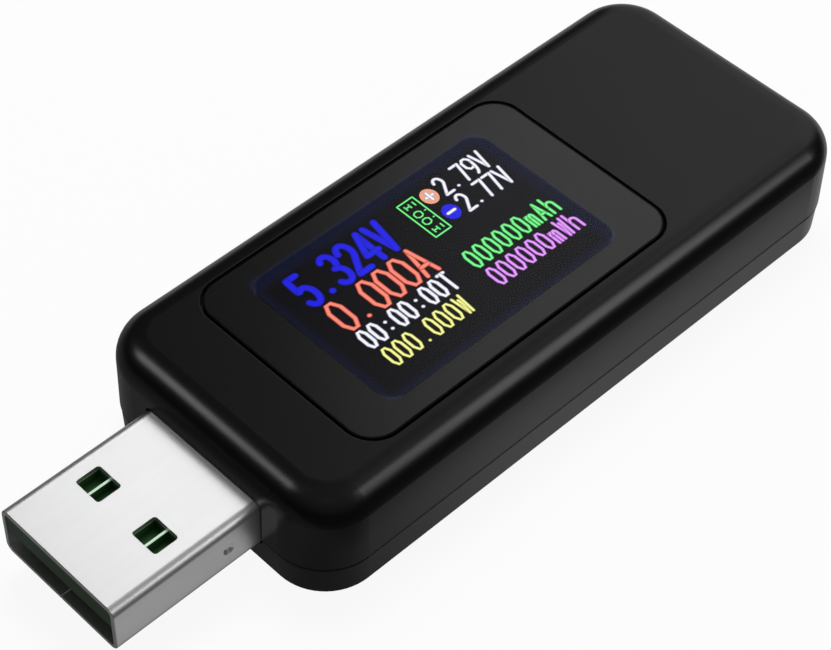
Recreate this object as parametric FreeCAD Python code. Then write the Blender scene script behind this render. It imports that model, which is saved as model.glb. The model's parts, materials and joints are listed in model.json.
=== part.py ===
import FreeCAD, Part
import math
import os

Vector = FreeCAD.Vector
SAME_PLACE = 1e-4

# A USB power meter: a moulded two-part housing with a USB-A plug at one end, a USB-A socket
# at the other, a colour display behind a window on top and one push button underneath.
#
# Lengths are millimetres.  X runs from the plug to the socket, Y across, Z up.  While the
# pieces are made, x = 0 is the plug-end face of the housing and z = 0 is its underside.  The
# finished pieces are shifted along X so that the origin is under the middle of the whole
# meter, plug included.

# ---------------------------------------------------------------- driving sizes

# Stack through the housing, from the underside to the top face
floor = 1.1
room_below_board = 1.8
board_thickness = 1.0
room_above_board = 2.2
backlight_thickness = 0.9
glass_plate_thickness = 0.4
gasket_thickness = 0.3
ledge_thickness = 0.55
tape_thickness = 0.15
mask_thickness = 0.05
lens_thickness = 1.0

# Display window and its lens
view_length = 23.7
view_width = 15.3
view_corner_radius = 0.7
view_shift_along = 0.35
view_shift_across = 0.5
lens_end_border = 3.79
lens_side_border = 1.84
lens_corner_radius = 2.4
lens_gap = 0.2
lens_setback = 7.17
opening_margin = 0.4
tape_margin = 0.3

# Housing
housing_side_border = 2.74
plan_corner_radius = 4.5
top_edge_radius = 2.4
base_edge_ease = 0.2
wall = 1.3
wall_lean = 0.11
cover_step = 0.05
parting_height = 2.87
shadow_gap = 0.14
lip_thickness = 0.6
lip_height = 0.9
lip_clearance = 0.05
snap_length = 4.0
snap_height = 0.45
snap_depth = 0.25
snap_clearance = 0.05
snaps_per_side = 3
socket_rib_inset = 3.45
rib_thickness = 0.8
post_size = 2.4
pin_radius = 0.45
pin_rise = 0.5
pin_clearance = 0.06
piece_clearance = 0.05

# Board
board_clearance = 0.3
notch_clearance = 0.15

# USB-A plug
plug_reach = 12.86
plug_width = 12.0
plug_height = 4.5
plug_edge_radius = 0.7
plug_sheet = 0.35
plug_tail = 6.0
plug_rise = 0.54
connector_clearance = 0.12
plug_window_length = 2.1
plug_window_width = 2.5
plug_window_radius = 0.25
plug_window_setback = 5.08
plug_window_spacing = 6.0
plug_dimple_radius = 0.5
plug_dimple_floor = 0.2
plug_dimple_depth = 0.2
plug_dimple_station = 2.85
plug_seam = 0.1
plug_tip_ease = 0.05
tongue_setback = 0.1
plug_tongue_thickness = 1.85
pocket_depth = 0.9
pocket_rib = 0.2

# USB-A socket
socket_length = 13.8
socket_tail_room = 3.87
socket_opening_width = 12.5
socket_opening_height = 5.12
socket_sheet = 0.3
socket_edge_radius = 0.8
socket_tongue_width = 11.1
socket_tongue_thickness = 1.84
socket_tongue_reach = 8.38
socket_tongue_setback = 0.9
socket_lead_in = 0.18
finger_width = 1.8
finger_root = 1.9
finger_crest = 5.8
finger_tip = 7.1
finger_depth = 0.55
finger_slot = 0.25
finger_spacing = 6.0

# Contacts of both connectors
contact_width = 1.0
contact_thickness = 0.2
outer_contact_spacing = 7.0
inner_contact_spacing = 2.0
outer_contact_setback = 1.2
inner_contact_setback = 2.2
contact_proud = 0.04
contact_foot = 1.2
contact_clearance = 0.02
contact_bow = 0.35
contact_bow_run = 1.5
contact_bow_setback = 4.6
tab_length = 2.0
tab_reach = 1.3

# Display module
glass_end_margin = 1.5
glass_side_margin = 1.35
driver_ledge = 4.2
driver_chip_length = 1.1
driver_chip_width = 11.0
driver_chip_thickness = 0.3
gasket_border = 0.9
flex_width = 10.0
flex_thickness = 0.12
flex_bend = 0.5
flex_standoff = 0.35
flex_foot = 3.0
flex_bond = 1.2

# Push button and its switch
button_radius = 2.4
button_clearance = 0.08
button_recess = 0.15
button_dish_radius = 3.5
button_dish_depth = 0.1
button_flange_radius = 3.1
button_flange_thickness = 0.3
button_flange_gap = 0.05
button_travel = 0.25
button_stem_radius = 0.85
switch_size = 4.6
switch_height = 0.85
switch_plate = 0.12
switch_chamber_radius = 1.75
switch_roof = 0.1
plunger_radius = 1.0
plunger_flange_radius = 1.45
plunger_flange_thickness = 0.2
plunger_clearance = 0.05
plunger_rise = 0.3
dome_thickness = 0.06
terminal_spacing = 3.0
terminal_width = 0.7

# Parts on the board
chip_size = 7.0
chip_height = 1.4
chip_standoff = 0.1
chip_leads_per_side = 8
chip_lead_pitch = 0.8
memory_length = 4.9
memory_width = 3.9
memory_height = 1.4
memory_leads_per_side = 4
memory_lead_pitch = 1.27
lead_width = 0.35
lead_thickness = 0.15
lead_reach = 1.0
lead_shoulder = 0.35
lead_foot = 0.4
shunt_length = 6.35
shunt_width = 3.2
shunt_height = 0.7
shunt_terminal = 1.1
regulator_length = 4.5
regulator_width = 2.5
regulator_height = 1.5
tantalum_length = 3.5
tantalum_width = 2.8
tantalum_height = 1.9
diode_length = 4.3
diode_width = 2.6
diode_height = 2.0
crystal_length = 3.2
crystal_width = 2.5
crystal_height = 0.8
crystal_corner_radius = 0.4
capacitor_length = 2.0
capacitor_width = 1.25
capacitor_height = 0.9
resistor_length = 1.6
resistor_width = 0.8
resistor_height = 0.45
end_cap = 0.35
part_spacing = 0.6
foam_width = 14.0

# ---------------------------------------------------------------- worked-out places

board_bottom = floor + room_below_board
board_top = board_bottom + board_thickness
backlight_bottom = board_top + room_above_board
glass_bottom = backlight_bottom + backlight_thickness
glass_step = glass_bottom + glass_plate_thickness
glass_top = glass_step + glass_plate_thickness
ceiling = glass_top + gasket_thickness
pocket_floor = ceiling + ledge_thickness
mask_bottom = pocket_floor + tape_thickness
lens_bottom = mask_bottom + mask_thickness
housing_height = lens_bottom + lens_thickness

lens_length = view_length + 2 * lens_end_border
lens_width = view_width + 2 * lens_side_border
lens_end = lens_setback + lens_length
socket_back = lens_end + socket_tail_room
housing_length = socket_back + socket_length
housing_width = lens_width + 2 * housing_side_border

view_middle = lens_setback + lens_length / 2 + view_shift_along
view_start = view_middle - view_length / 2
view_end = view_middle + view_length / 2
view_right = view_shift_across - view_width / 2
view_left = view_shift_across + view_width / 2

connector_height = board_top + plug_rise
plug_top = connector_height + plug_height / 2
plug_bottom = connector_height - plug_height / 2
plug_ceiling = plug_top - plug_sheet
plug_tongue_bottom = plug_ceiling - plug_tongue_thickness

socket_width = socket_opening_width + 2 * socket_sheet
socket_height = socket_opening_height + 2 * socket_sheet
socket_top = connector_height + socket_height / 2
socket_bottom = connector_height - socket_height / 2
socket_tongue_top = plug_tongue_bottom - piece_clearance
socket_tongue_bottom = socket_tongue_top - socket_tongue_thickness
socket_tongue_tip = housing_length - socket_tongue_setback
socket_tongue_root = socket_tongue_tip - socket_tongue_reach

glass_start = view_start - glass_end_margin
glass_end = view_end + driver_ledge
glass_right = view_right - glass_side_margin
glass_left = view_left + glass_side_margin
front_glass_end = view_end + glass_end_margin

post_along = plan_corner_radius + post_size / 2
post_across = housing_width / 2 - wall - wall_lean - board_clearance - post_size / 2

button_station = lens_setback + lens_length / 2
switch_bottom = board_bottom - switch_height
plunger_tip = switch_bottom - plunger_rise


# ---------------------------------------------------------------- shape helpers

def block(x_low, x_high, y_low, y_high, z_low, z_high):
    """A plain box between six faces."""
    corner = Vector(x_low, y_low, z_low)
    return Part.makeBox(x_high - x_low, y_high - y_low, z_high - z_low, corner)


def centred_block(x, y, length, width, z_low, z_high):
    """A plain box centred on a spot of the plan."""
    return block(x - length / 2, x + length / 2, y - width / 2, y + width / 2, z_low, z_high)


def rounded_outline(x_low, x_high, y_low, y_high, radius, z):
    """A closed rounded rectangle lying at one height."""
    corners = (
        (x_high - radius, y_high - radius, 0),
        (x_low + radius, y_high - radius, 90),
        (x_low + radius, y_low + radius, 180),
        (x_high - radius, y_low + radius, 270),
    )
    arcs = []
    for x, y, start in corners:
        arcs.append(Part.makeCircle(radius, Vector(x, y, z), Vector(0, 0, 1), start, start + 90))
    edges = []
    for arc, following in zip(arcs, arcs[1:] + arcs[:1]):
        edges.append(arc)
        edges.append(Part.makeLine(arc.lastVertex().Point, following.firstVertex().Point))
    return Part.Wire(edges)


def rounded_plate(x_low, x_high, y_low, y_high, radius, z_low, z_high):
    """A flat plate with rounded corners in plan."""
    outline = rounded_outline(x_low, x_high, y_low, y_high, radius, z_low)
    return Part.Face(outline).extrude(Vector(0, 0, z_high - z_low))


def edges_along(shape, direction):
    """Every straight edge of a plain block that runs along a direction."""
    found = []
    for edge in shape.Edges:
        run = edge.lastVertex().Point - edge.firstVertex().Point
        if run.Length - abs(run.dot(direction)) < SAME_PLACE:
            found.append(edge)
    return found


def eased_bar(x_low, x_high, width, height, middle_height, ease):
    """A bar along X whose four long edges are cut off at 45 degrees, centred on Y."""
    bar = block(x_low, x_high, -width / 2, width / 2, middle_height - height / 2, middle_height + height / 2)
    return bar.makeChamfer(ease, edges_along(bar, Vector(1, 0, 0)))


def rounded_bar(x_low, x_high, width, height, middle_height, radius):
    """A bar along X with a rounded rectangular section, centred on Y."""
    section = rounded_outline(-width / 2, width / 2, -height / 2, height / 2, radius, 0)
    section.rotate(Vector(0, 0, 0), Vector(1, 1, 1), 120)
    section.translate(Vector(x_low, 0, middle_height))
    return Part.Face(section).extrude(Vector(x_high - x_low, 0, 0))


def upright(x, y, radius, z_low, z_high):
    """A cylinder standing on a spot of the plan."""
    return Part.makeCylinder(radius, z_high - z_low, Vector(x, y, z_low))


def bent_path(points, bend):
    """Straight runs through the points, each corner rounded by one bend radius."""
    edges = []
    start = points[0]
    for before, corner, after in zip(points, points[1:], points[2:]):
        back = (before - corner).normalize()
        ahead = (after - corner).normalize()
        half_turn = back.getAngle(ahead) / 2
        arc_start = corner + back * (bend / math.tan(half_turn))
        arc_end = corner + ahead * (bend / math.tan(half_turn))
        bisector = (back + ahead).normalize()
        centre = corner + bisector * (bend / math.sin(half_turn))
        edges.append(Part.makeLine(start, arc_start))
        edges.append(Part.Arc(arc_start, centre - bisector * bend, arc_end).toShape())
        start = arc_end
    edges.append(Part.makeLine(start, points[-1]))
    return Part.Wire(edges)


def bent_strip(runs, y, bend, width, thickness):
    """A strip of sheet that follows (x, z) points, with its width along Y; bend 0 folds it sharp."""
    points = [Vector(x, y, z) for x, z in runs]
    along = (points[1] - points[0]).normalize()
    half_width = Vector(0, width / 2, 0)
    half_thickness = along.cross(Vector(0, 1, 0)) * (thickness / 2)
    corners = [
        points[0] + half_width + half_thickness,
        points[0] - half_width + half_thickness,
        points[0] - half_width - half_thickness,
        points[0] + half_width - half_thickness,
    ]
    section = Part.makePolygon(corners + corners[:1])
    if bend == 0:
        return Part.makePolygon(points).makePipeShell([section], True, True, 1)
    return bent_path(points, bend).makePipeShell([section], True, True)


def housing_outline(inset, z):
    """The housing's plan outline, moved inwards by an inset."""
    radius = plan_corner_radius - inset
    half = housing_width / 2 - inset
    return rounded_outline(inset, housing_length - inset, -half, half, radius, z)


def leaning_prism(low_inset, z_low, high_inset, z_high):
    """The housing's outline drawn up between two heights, with mould draft."""
    outlines = [housing_outline(low_inset, z_low), housing_outline(high_inset, z_high)]
    return Part.makeLoft(outlines, True, True)


def edges_at(shape, z):
    """Every edge that lies wholly at one height."""
    found = []
    for edge in shape.Edges:
        if abs(edge.BoundBox.ZMin - z) < SAME_PLACE and abs(edge.BoundBox.ZMax - z) < SAME_PLACE:
            found.append(edge)
    return found


# ---------------------------------------------------------------- housing

def pin_places():
    """The two opposite posts whose pins locate the board."""
    return [(post_along, post_across), (housing_length - post_along, -post_across)]


def post_places():
    """The four posts in the corners, where both mouldings clamp the board."""
    return pin_places() + [(post_along, -post_across), (housing_length - post_along, post_across)]


def side_strips(inner, outer, z_low, z_high, longer):
    """A straight strip along each long wall, between two depths in from the outside."""
    half = housing_width / 2
    start = plan_corner_radius - longer
    strips = []
    for side in (1, -1):
        near = side * (half - inner)
        far = side * (half - outer)
        strips.append(block(start, housing_length - start, min(near, far), max(near, far), z_low, z_high))
    return strips


def snap_places():
    """Stations of the snap hooks along each long side."""
    straight = housing_length - 2 * plan_corner_radius
    pitch = straight / snaps_per_side
    return [plan_corner_radius + pitch * (number + 0.5) for number in range(snaps_per_side)]


def connector_openings():
    """Clear space for the plug's shell at one end and the socket's shell at the other."""
    plug_gap = 2 * connector_clearance
    plug_hole = rounded_bar(-wall, 2 * wall, plug_width + plug_gap, plug_height + plug_gap,
                            connector_height, plug_edge_radius)
    socket_hole = rounded_bar(housing_length - 2 * wall, housing_length + wall,
                              socket_width + plug_gap, socket_height + plug_gap,
                              connector_height, socket_edge_radius)
    return [plug_hole, socket_hole]


def make_upper_shell():
    """Top moulding: drafted walls, rolled top edge, lens pocket, window, bosses and rebates."""
    outside = leaning_prism(0, parting_height, wall_lean, housing_height)
    outside = outside.makeFillet(top_edge_radius, edges_at(outside, housing_height))

    inside = leaning_prism(wall, parting_height, wall + wall_lean, ceiling)
    shell = outside.cut(inside)

    pocket = rounded_plate(lens_setback - lens_gap, lens_end + lens_gap,
                           -lens_width / 2 - lens_gap, lens_width / 2 + lens_gap,
                           lens_corner_radius + lens_gap, pocket_floor, housing_height)
    window = block(view_start - opening_margin, view_end + opening_margin,
                   view_right - opening_margin, view_left + opening_margin, ceiling, pocket_floor)
    rebate_inset = wall - lip_thickness - lip_clearance
    rebates = side_strips(wall + lip_thickness, rebate_inset, parting_height,
                          parting_height + lip_height + lip_clearance, lip_clearance)
    shell = shell.cut([pocket, window] + rebates)

    boss_top = ceiling + ledge_thickness / 2
    bosses = []
    sockets = []
    for x, y in post_places():
        bosses.append(centred_block(x, y, post_size, post_size, board_top, boss_top))
    for x, y in pin_places():
        sockets.append(upright(x, y, pin_radius + pin_clearance, board_top, board_top + 2 * pin_rise))
    shell = shell.fuse(bosses).cut(sockets + connector_openings())

    catches = []
    catch_bottom = parting_height + (lip_height - snap_height) / 2 - snap_clearance
    catch_top = catch_bottom + snap_height + 2 * snap_clearance
    reach = housing_width / 2 - rebate_inset
    for x in snap_places():
        for side in (1, -1):
            near = side * (reach - lip_clearance)
            far = side * (reach + snap_depth)
            catches.append(block(x - snap_length / 2 - snap_clearance, x + snap_length / 2 + snap_clearance,
                                 min(near, far), max(near, far), catch_bottom, catch_top))
    return shell.cut(catches).removeSplitter()


def make_snap_hook(x, side):
    """A wedge on the lip: a sloped lead-in above and a flat catch below."""
    root = housing_width / 2 - wall + lip_thickness
    low = parting_height + (lip_height - snap_height) / 2
    profile = [
        Vector(x - snap_length / 2, side * (root - lip_clearance), low),
        Vector(x - snap_length / 2, side * (root + snap_depth), low),
        Vector(x - snap_length / 2, side * (root + snap_depth), low + snap_height / 3),
        Vector(x - snap_length / 2, side * (root - lip_clearance), low + snap_height),
    ]
    face = Part.Face(Part.makePolygon(profile + profile[:1]))
    return face.extrude(Vector(snap_length, 0, 0))


def make_lower_cover():
    """Bottom moulding: floor, low walls, two snap lips, board posts, ribs and button hole."""
    rim = parting_height - shadow_gap
    outside = leaning_prism(cover_step + wall_lean, 0, cover_step, rim)
    outside = outside.makeChamfer(base_edge_ease, edges_at(outside, 0))
    hollow = leaning_prism(wall, floor, wall, rim)
    lips = side_strips(wall, wall - lip_thickness, floor, parting_height + lip_height, 0)
    cover = outside.cut(hollow).fuse(lips)

    posts = []
    for x, y in post_places():
        posts.append(centred_block(x, y, post_size, post_size, floor, board_bottom))
    for x, y in pin_places():
        posts.append(upright(x, y, pin_radius, floor, board_top + pin_rise))
    inner_half = housing_width / 2 - wall
    saddle_top = plug_bottom - piece_clearance
    posts.append(block(plug_tail / 2, plug_tail / 2 + rib_thickness,
                       -plug_width / 2, plug_width / 2, floor, saddle_top))
    socket_rib_top = socket_bottom - piece_clearance
    for x in (socket_back + socket_rib_inset, housing_length - socket_rib_inset):
        posts.append(centred_block(x, 0, rib_thickness, socket_width, floor, socket_rib_top))
    stiffener_top = floor + rib_thickness
    for x in (lens_setback + rib_thickness, lens_end - rib_thickness):
        posts.append(centred_block(x, 0, rib_thickness, 2 * inner_half, floor, stiffener_top))
    hooks = []
    for x in snap_places():
        for side in (1, -1):
            hooks.append(make_snap_hook(x, side))
    cover = cover.fuse(posts + hooks)

    bore = upright(button_station, 0, button_radius + button_clearance, 0, floor)
    dish = Part.makeCone(button_dish_radius, button_radius + button_clearance, button_dish_depth,
                         Vector(button_station, 0, 0))
    return cover.cut(connector_openings() + [bore, dish]).removeSplitter()


# ---------------------------------------------------------------- window and display

def make_window_lens():
    """Clear acrylic window, its top edge eased, flush with the top of the housing."""
    lens = rounded_plate(lens_setback, lens_end, -lens_width / 2, lens_width / 2,
                         lens_corner_radius, lens_bottom, housing_height)
    return lens.makeChamfer(mask_thickness, edges_at(lens, housing_height))


def make_lens_mask():
    """Black film on the back of the lens, open over the picture."""
    edge = piece_clearance
    film = rounded_plate(lens_setback + edge, lens_end - edge,
                         edge - lens_width / 2, lens_width / 2 - edge,
                         lens_corner_radius, mask_bottom, lens_bottom)
    view = rounded_plate(view_start, view_end, view_right, view_left,
                         view_corner_radius, mask_bottom, lens_bottom)
    return film.cut(view)


def make_lens_tape():
    """Die-cut adhesive frame between the lens and the ledge of the pocket."""
    tape = rounded_plate(lens_setback + tape_margin, lens_end - tape_margin,
                         tape_margin - lens_width / 2, lens_width / 2 - tape_margin,
                         lens_corner_radius, pocket_floor, mask_bottom)
    margin = opening_margin + tape_margin
    middle = block(view_start - margin, view_end + margin, view_right - margin, view_left + margin,
                   pocket_floor, mask_bottom)
    return tape.cut(middle)


def make_display_gasket():
    """Foam frame that seals the display against the underside of the ledge."""
    margin = opening_margin + piece_clearance
    outer = margin + gasket_border
    frame = block(view_start - outer, view_end + outer, view_right - outer, view_left + outer,
                  glass_top, ceiling)
    middle = block(view_start - margin, view_end + margin, view_right - margin, view_left + margin,
                   glass_top, ceiling)
    return frame.cut(middle)


def make_display_glass():
    """Two bonded glass plates; the rear one runs on past the front one as the driver ledge."""
    rear = block(glass_start, glass_end, glass_right, glass_left, glass_bottom, glass_step)
    front = block(glass_start, front_glass_end, glass_right, glass_left, glass_step, glass_top)
    return rear.fuse(front).removeSplitter()


def driver_chip_start():
    """Near edge of the driver chip, just past the front plate."""
    return front_glass_end + piece_clearance


def make_display_driver_chip():
    """Bare driver chip bonded on the ledge."""
    start = driver_chip_start()
    half = driver_chip_width / 2
    return block(start, start + driver_chip_length, view_shift_across - half, view_shift_across + half,
                 glass_step, glass_step + driver_chip_thickness)


def make_display_backlight():
    """White light-guide tray under the glass, with a shallow rim of its own."""
    tray = block(glass_start, glass_end, glass_right, glass_left, backlight_bottom, glass_bottom)
    groove = block(view_start, view_end, view_right, view_left,
                   backlight_bottom, backlight_bottom + backlight_thickness / 4)
    return tray.cut(groove)


def make_display_flex():
    """Flexible tail: bonded on the ledge, round the end of the glass, down to the board."""
    bond_height = glass_step + flex_thickness / 2
    foot_height = board_top + flex_thickness / 2
    turn = glass_end + flex_standoff
    runs = [
        (glass_end - flex_bond, bond_height),
        (turn, bond_height),
        (turn, foot_height),
        (turn - flex_foot, foot_height),
    ]
    return bent_strip(runs, view_shift_across, min(flex_bend, flex_standoff - flex_thickness / 2),
                      flex_width, flex_thickness)


# ---------------------------------------------------------------- board

def shell_tab_places():
    """Stations of the soldered side tabs: the plug's pair, then the socket's two pairs."""
    first_socket_tab = socket_back + tab_length / 2 + piece_clearance
    last_socket_tab = housing_length - finger_tip - 2 * finger_slot - tab_length / 2
    return {
        "plug": [plug_tail - tab_length / 2 - piece_clearance],
        "socket": [first_socket_tab, last_socket_tab],
    }


def make_main_board():
    """Circuit board with a notch round each connector, pin holes and tab slots."""
    edge = wall + wall_lean + board_clearance
    half = housing_width / 2 - edge
    board = block(edge, housing_length - edge, -half, half, board_bottom, board_top)
    board = board.makeChamfer(plan_corner_radius - edge, edges_along(board, Vector(0, 0, 1)))
    plug_half = plug_width / 2 + notch_clearance
    socket_half = socket_width / 2 + notch_clearance
    cuts = [
        block(0, plug_tail + notch_clearance, -plug_half, plug_half, board_bottom, board_top),
        block(socket_back - notch_clearance, housing_length, -socket_half, socket_half,
              board_bottom, board_top),
    ]
    for x, y in pin_places():
        cuts.append(upright(x, y, pin_radius + pin_clearance, board_bottom, board_top))
    return board.cut(cuts)


# ---------------------------------------------------------------- connectors

def contact_rows():
    """Each contact's place across the connector and how far it sits behind the tip."""
    rows = []
    for side in (1, -1):
        rows.append((side * outer_contact_spacing / 2, outer_contact_setback))
        rows.append((side * inner_contact_spacing / 2, inner_contact_setback))
    return rows


def side_tab(x, side, half_width, sheet):
    """A tab folded out of a shell's side so that it lies on the board."""
    near = side * (half_width - sheet / 2)
    far = side * (half_width + tab_reach)
    return block(x - tab_length / 2, x + tab_length / 2, min(near, far), max(near, far),
                 board_top, board_top + sheet)


def make_plug_shell():
    """Folded sheet shell: latch windows in both broad faces, side dimples, a seam below."""
    tube = rounded_bar(-plug_reach, plug_tail, plug_width, plug_height,
                       connector_height, plug_edge_radius)
    tip = [edge for edge in tube.Edges if abs(edge.BoundBox.XMax + plug_reach) < SAME_PLACE]
    tube = tube.makeChamfer(plug_tip_ease, tip)
    bore = rounded_bar(-plug_reach, plug_tail, plug_width - 2 * plug_sheet, plug_height - 2 * plug_sheet,
                       connector_height, plug_edge_radius - plug_sheet)
    cuts = [bore]
    window_start = plug_window_setback - plug_reach
    for side in (1, -1):
        y = side * plug_window_spacing / 2
        cuts.append(rounded_plate(window_start, window_start + plug_window_length,
                                  y - plug_window_width / 2, y + plug_window_width / 2,
                                  plug_window_radius, plug_bottom - plug_sheet, plug_top + plug_sheet))
        cuts.append(Part.makeCone(plug_dimple_radius, plug_dimple_floor, plug_dimple_depth,
                                  Vector(-plug_dimple_station, side * plug_width / 2, connector_height),
                                  Vector(0, -side, 0)))
    cuts.append(block(-plug_reach - plug_sheet, plug_tail + plug_sheet, -plug_seam / 2, plug_seam / 2,
                      plug_bottom - plug_sheet, plug_bottom + plug_sheet))
    shell = tube.cut(cuts)
    tabs = []
    for x in shell_tab_places()["plug"]:
        for side in (1, -1):
            tabs.append(side_tab(x, side, plug_width / 2, plug_sheet))
    return shell.fuse(tabs).removeSplitter()


def plug_contact(y, setback, spare):
    """One plug contact: flat along the underside of the tongue, then down to the board."""
    thickness = contact_thickness + 2 * spare
    run_height = plug_tongue_bottom - contact_proud + contact_thickness / 2
    foot_height = board_top + contact_thickness / 2
    runs = [
        (setback - plug_reach - spare, run_height),
        (plug_tail + contact_thickness, run_height),
        (plug_tail + 3 * contact_thickness, foot_height),
        (plug_tail + contact_foot + 3 * contact_thickness, foot_height),
    ]
    return bent_strip(runs, y, 0, contact_width + 2 * spare, thickness)


def make_plug_contacts():
    """The plug's four contacts."""
    return [plug_contact(y, setback, 0) for y, setback in contact_rows()]


def make_plug_insulator():
    """Moulded block and tongue that carry the contacts, with a ribbed pocket at each window."""
    width = plug_width - 2 * plug_sheet - 2 * contact_clearance
    height = plug_height - 2 * plug_sheet - 2 * contact_clearance
    body = eased_bar(tongue_setback - plug_reach, plug_tail, width, height,
                     connector_height, plug_edge_radius - plug_sheet)
    mouth = block(-plug_reach, -wall, -plug_width, plug_width, 0, plug_tongue_bottom)
    cuts = [mouth]
    window_start = plug_window_setback - plug_reach
    pocket_bottom = plug_ceiling - min(pocket_depth, plug_tongue_thickness / 2)
    for side in (1, -1):
        y = side * plug_window_spacing / 2
        for half in (1, -1):
            near = y + half * pocket_rib / 2
            far = y + half * plug_window_width / 2
            cuts.append(block(window_start, window_start + plug_window_length,
                              min(near, far), max(near, far), pocket_bottom, plug_top))
    for y, setback in contact_rows():
        cuts.append(plug_contact(y, setback, contact_clearance))
    return body.cut(cuts)


def socket_finger():
    """Spring finger in its own plane: rooted at x = 0, bending towards -Z."""
    depth = finger_depth
    run = finger_crest - finger_root
    runs = [
        (-socket_sheet, 0),
        (socket_sheet, 0),
        (run, -depth),
        (finger_tip - finger_root, -depth / 2),
    ]
    return bent_strip(runs, 0, socket_sheet, finger_width, socket_sheet)


def finger_seats():
    """Where each finger is rooted: place, and the roll about X that turns it to its wall."""
    middle = (socket_opening_height + socket_sheet) / 2
    side_middle = (socket_opening_width + socket_sheet) / 2
    seats = []
    for side in (1, -1):
        y = side * finger_spacing / 2
        seats.append((Vector(0, y, connector_height + middle), 0))
        seats.append((Vector(0, y, connector_height - middle), 180))
        seats.append((Vector(0, side * side_middle, connector_height), -90 * side))
    return seats


def seat_on_wall(shape, place, roll):
    """Turn a finger or its slot to face into the socket and set it on its wall."""
    shape.rotate(Vector(0, 0, 0), Vector(0, 0, 1), 180)
    shape.rotate(Vector(0, 0, 0), Vector(1, 0, 0), roll)
    shape.translate(place + Vector(housing_length - finger_root, 0, 0))
    return shape


def make_socket_shell():
    """Folded sheet shell with a lead-in at the mouth and six bent spring fingers."""
    tube = rounded_bar(socket_back, housing_length, socket_width, socket_height,
                       connector_height, socket_edge_radius)
    bore = rounded_bar(socket_back, housing_length, socket_opening_width, socket_opening_height,
                       connector_height, socket_edge_radius - socket_sheet)
    mouth = []
    for x, grow in ((housing_length - 2 * socket_lead_in, 0), (housing_length, socket_lead_in)):
        half_width = socket_opening_width / 2 + grow
        half_height = socket_opening_height / 2 + grow
        outline = rounded_outline(-half_width, half_width, -half_height, half_height,
                                  socket_edge_radius - socket_sheet + grow, 0)
        outline.rotate(Vector(0, 0, 0), Vector(1, 1, 1), 120)
        outline.translate(Vector(x, 0, connector_height))
        mouth.append(outline)
    shell = tube.cut([bore, Part.makeLoft(mouth, True, True)])
    slots = []
    fingers = []
    slot_length = finger_tip - finger_root + finger_slot
    half_slot = finger_width / 2 + finger_slot
    for place, roll in finger_seats():
        slot = block(0, slot_length, -half_slot, half_slot, -socket_sheet, socket_sheet)
        slots.append(seat_on_wall(slot, place, roll))
        fingers.append(seat_on_wall(socket_finger(), place, roll))
    tabs = []
    for x in shell_tab_places()["socket"]:
        for side in (1, -1):
            tabs.append(side_tab(x, side, socket_width / 2, socket_sheet))
    return shell.cut(slots).fuse(fingers + tabs).removeSplitter()


def socket_contact(y, spare):
    """One socket contact: a spring bow along the top of the tongue, then out to the board."""
    thickness = contact_thickness + 2 * spare
    low = socket_tongue_top - contact_thickness / 2
    foot_height = board_top + contact_thickness / 2
    tail = socket_back - contact_foot - 3 * contact_thickness
    crest = socket_tongue_tip - contact_bow_setback
    runs = [
        (socket_tongue_tip - inner_contact_setback + spare, low),
        (crest + contact_bow_run, low),
        (crest, low + contact_bow),
        (crest - contact_bow_run, low),
        (socket_back - contact_thickness, low),
        (socket_back - 3 * contact_thickness, foot_height),
        (tail, foot_height),
    ]
    return bent_strip(runs, y, 0, contact_width + 2 * spare, thickness)


def make_socket_contacts():
    """The socket's four contacts."""
    return [socket_contact(y, 0) for y, _ in contact_rows()]


def make_socket_insulator():
    """Moulded block that closes the back of the socket, with the tongue that enters a plug."""
    width = socket_opening_width - 2 * contact_clearance
    height = socket_opening_height - 2 * contact_clearance
    body = eased_bar(socket_back, socket_tongue_root, width, height,
                     connector_height, socket_edge_radius - socket_sheet)
    tongue = block(socket_tongue_root - rib_thickness, socket_tongue_tip,
                   -socket_tongue_width / 2, socket_tongue_width / 2,
                   socket_tongue_bottom, socket_tongue_top)
    tip = [edge for edge in tongue.Edges if edge.BoundBox.XMin > socket_tongue_tip - SAME_PLACE]
    tongue = tongue.makeChamfer(socket_sheet, tip)
    cuts = [socket_contact(y, contact_clearance) for y, _ in contact_rows()]
    return body.fuse(tongue).cut(cuts).removeSplitter()


# ---------------------------------------------------------------- push button

def make_button_cap():
    """Round key in the floor: recessed face, a flange that keeps it in, a stem to the switch."""
    flange_low = floor + button_flange_gap
    face = upright(button_station, 0, button_radius, button_recess, flange_low + button_flange_thickness)
    face = face.makeChamfer(base_edge_ease, edges_at(face, button_recess))
    flange = upright(button_station, 0, button_flange_radius, flange_low,
                     flange_low + button_flange_thickness)
    stem = upright(button_station, 0, button_stem_radius, flange_low, plunger_tip)
    return face.fuse([flange, stem]).removeSplitter()


def make_switch_body():
    """Moulded body of the switch with the chamber for its dome."""
    body = centred_block(button_station, 0, switch_size, switch_size,
                         switch_bottom + switch_plate, board_bottom)
    chamber = upright(button_station, 0, switch_chamber_radius,
                      switch_bottom + switch_plate, board_bottom - switch_roof)
    return body.cut(chamber)


def make_switch_plate():
    """Pressed cover plate that holds the plunger in."""
    plate = centred_block(button_station, 0, switch_size, switch_size,
                          switch_bottom, switch_bottom + switch_plate)
    return plate.cut(upright(button_station, 0, plunger_radius + plunger_clearance,
                             switch_bottom, switch_bottom + switch_plate))


def plunger_shoulder():
    """Height of the plunger's flange, just clear of the cover plate."""
    return switch_bottom + switch_plate + plunger_clearance


def make_switch_plunger():
    """Plunger: a stem through the cover plate and a flange under it."""
    shoulder = plunger_shoulder()
    stem = upright(button_station, 0, plunger_radius, plunger_tip, shoulder + plunger_flange_thickness)
    flange = upright(button_station, 0, plunger_flange_radius, shoulder,
                     shoulder + plunger_flange_thickness)
    return stem.fuse(flange).removeSplitter()


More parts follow.
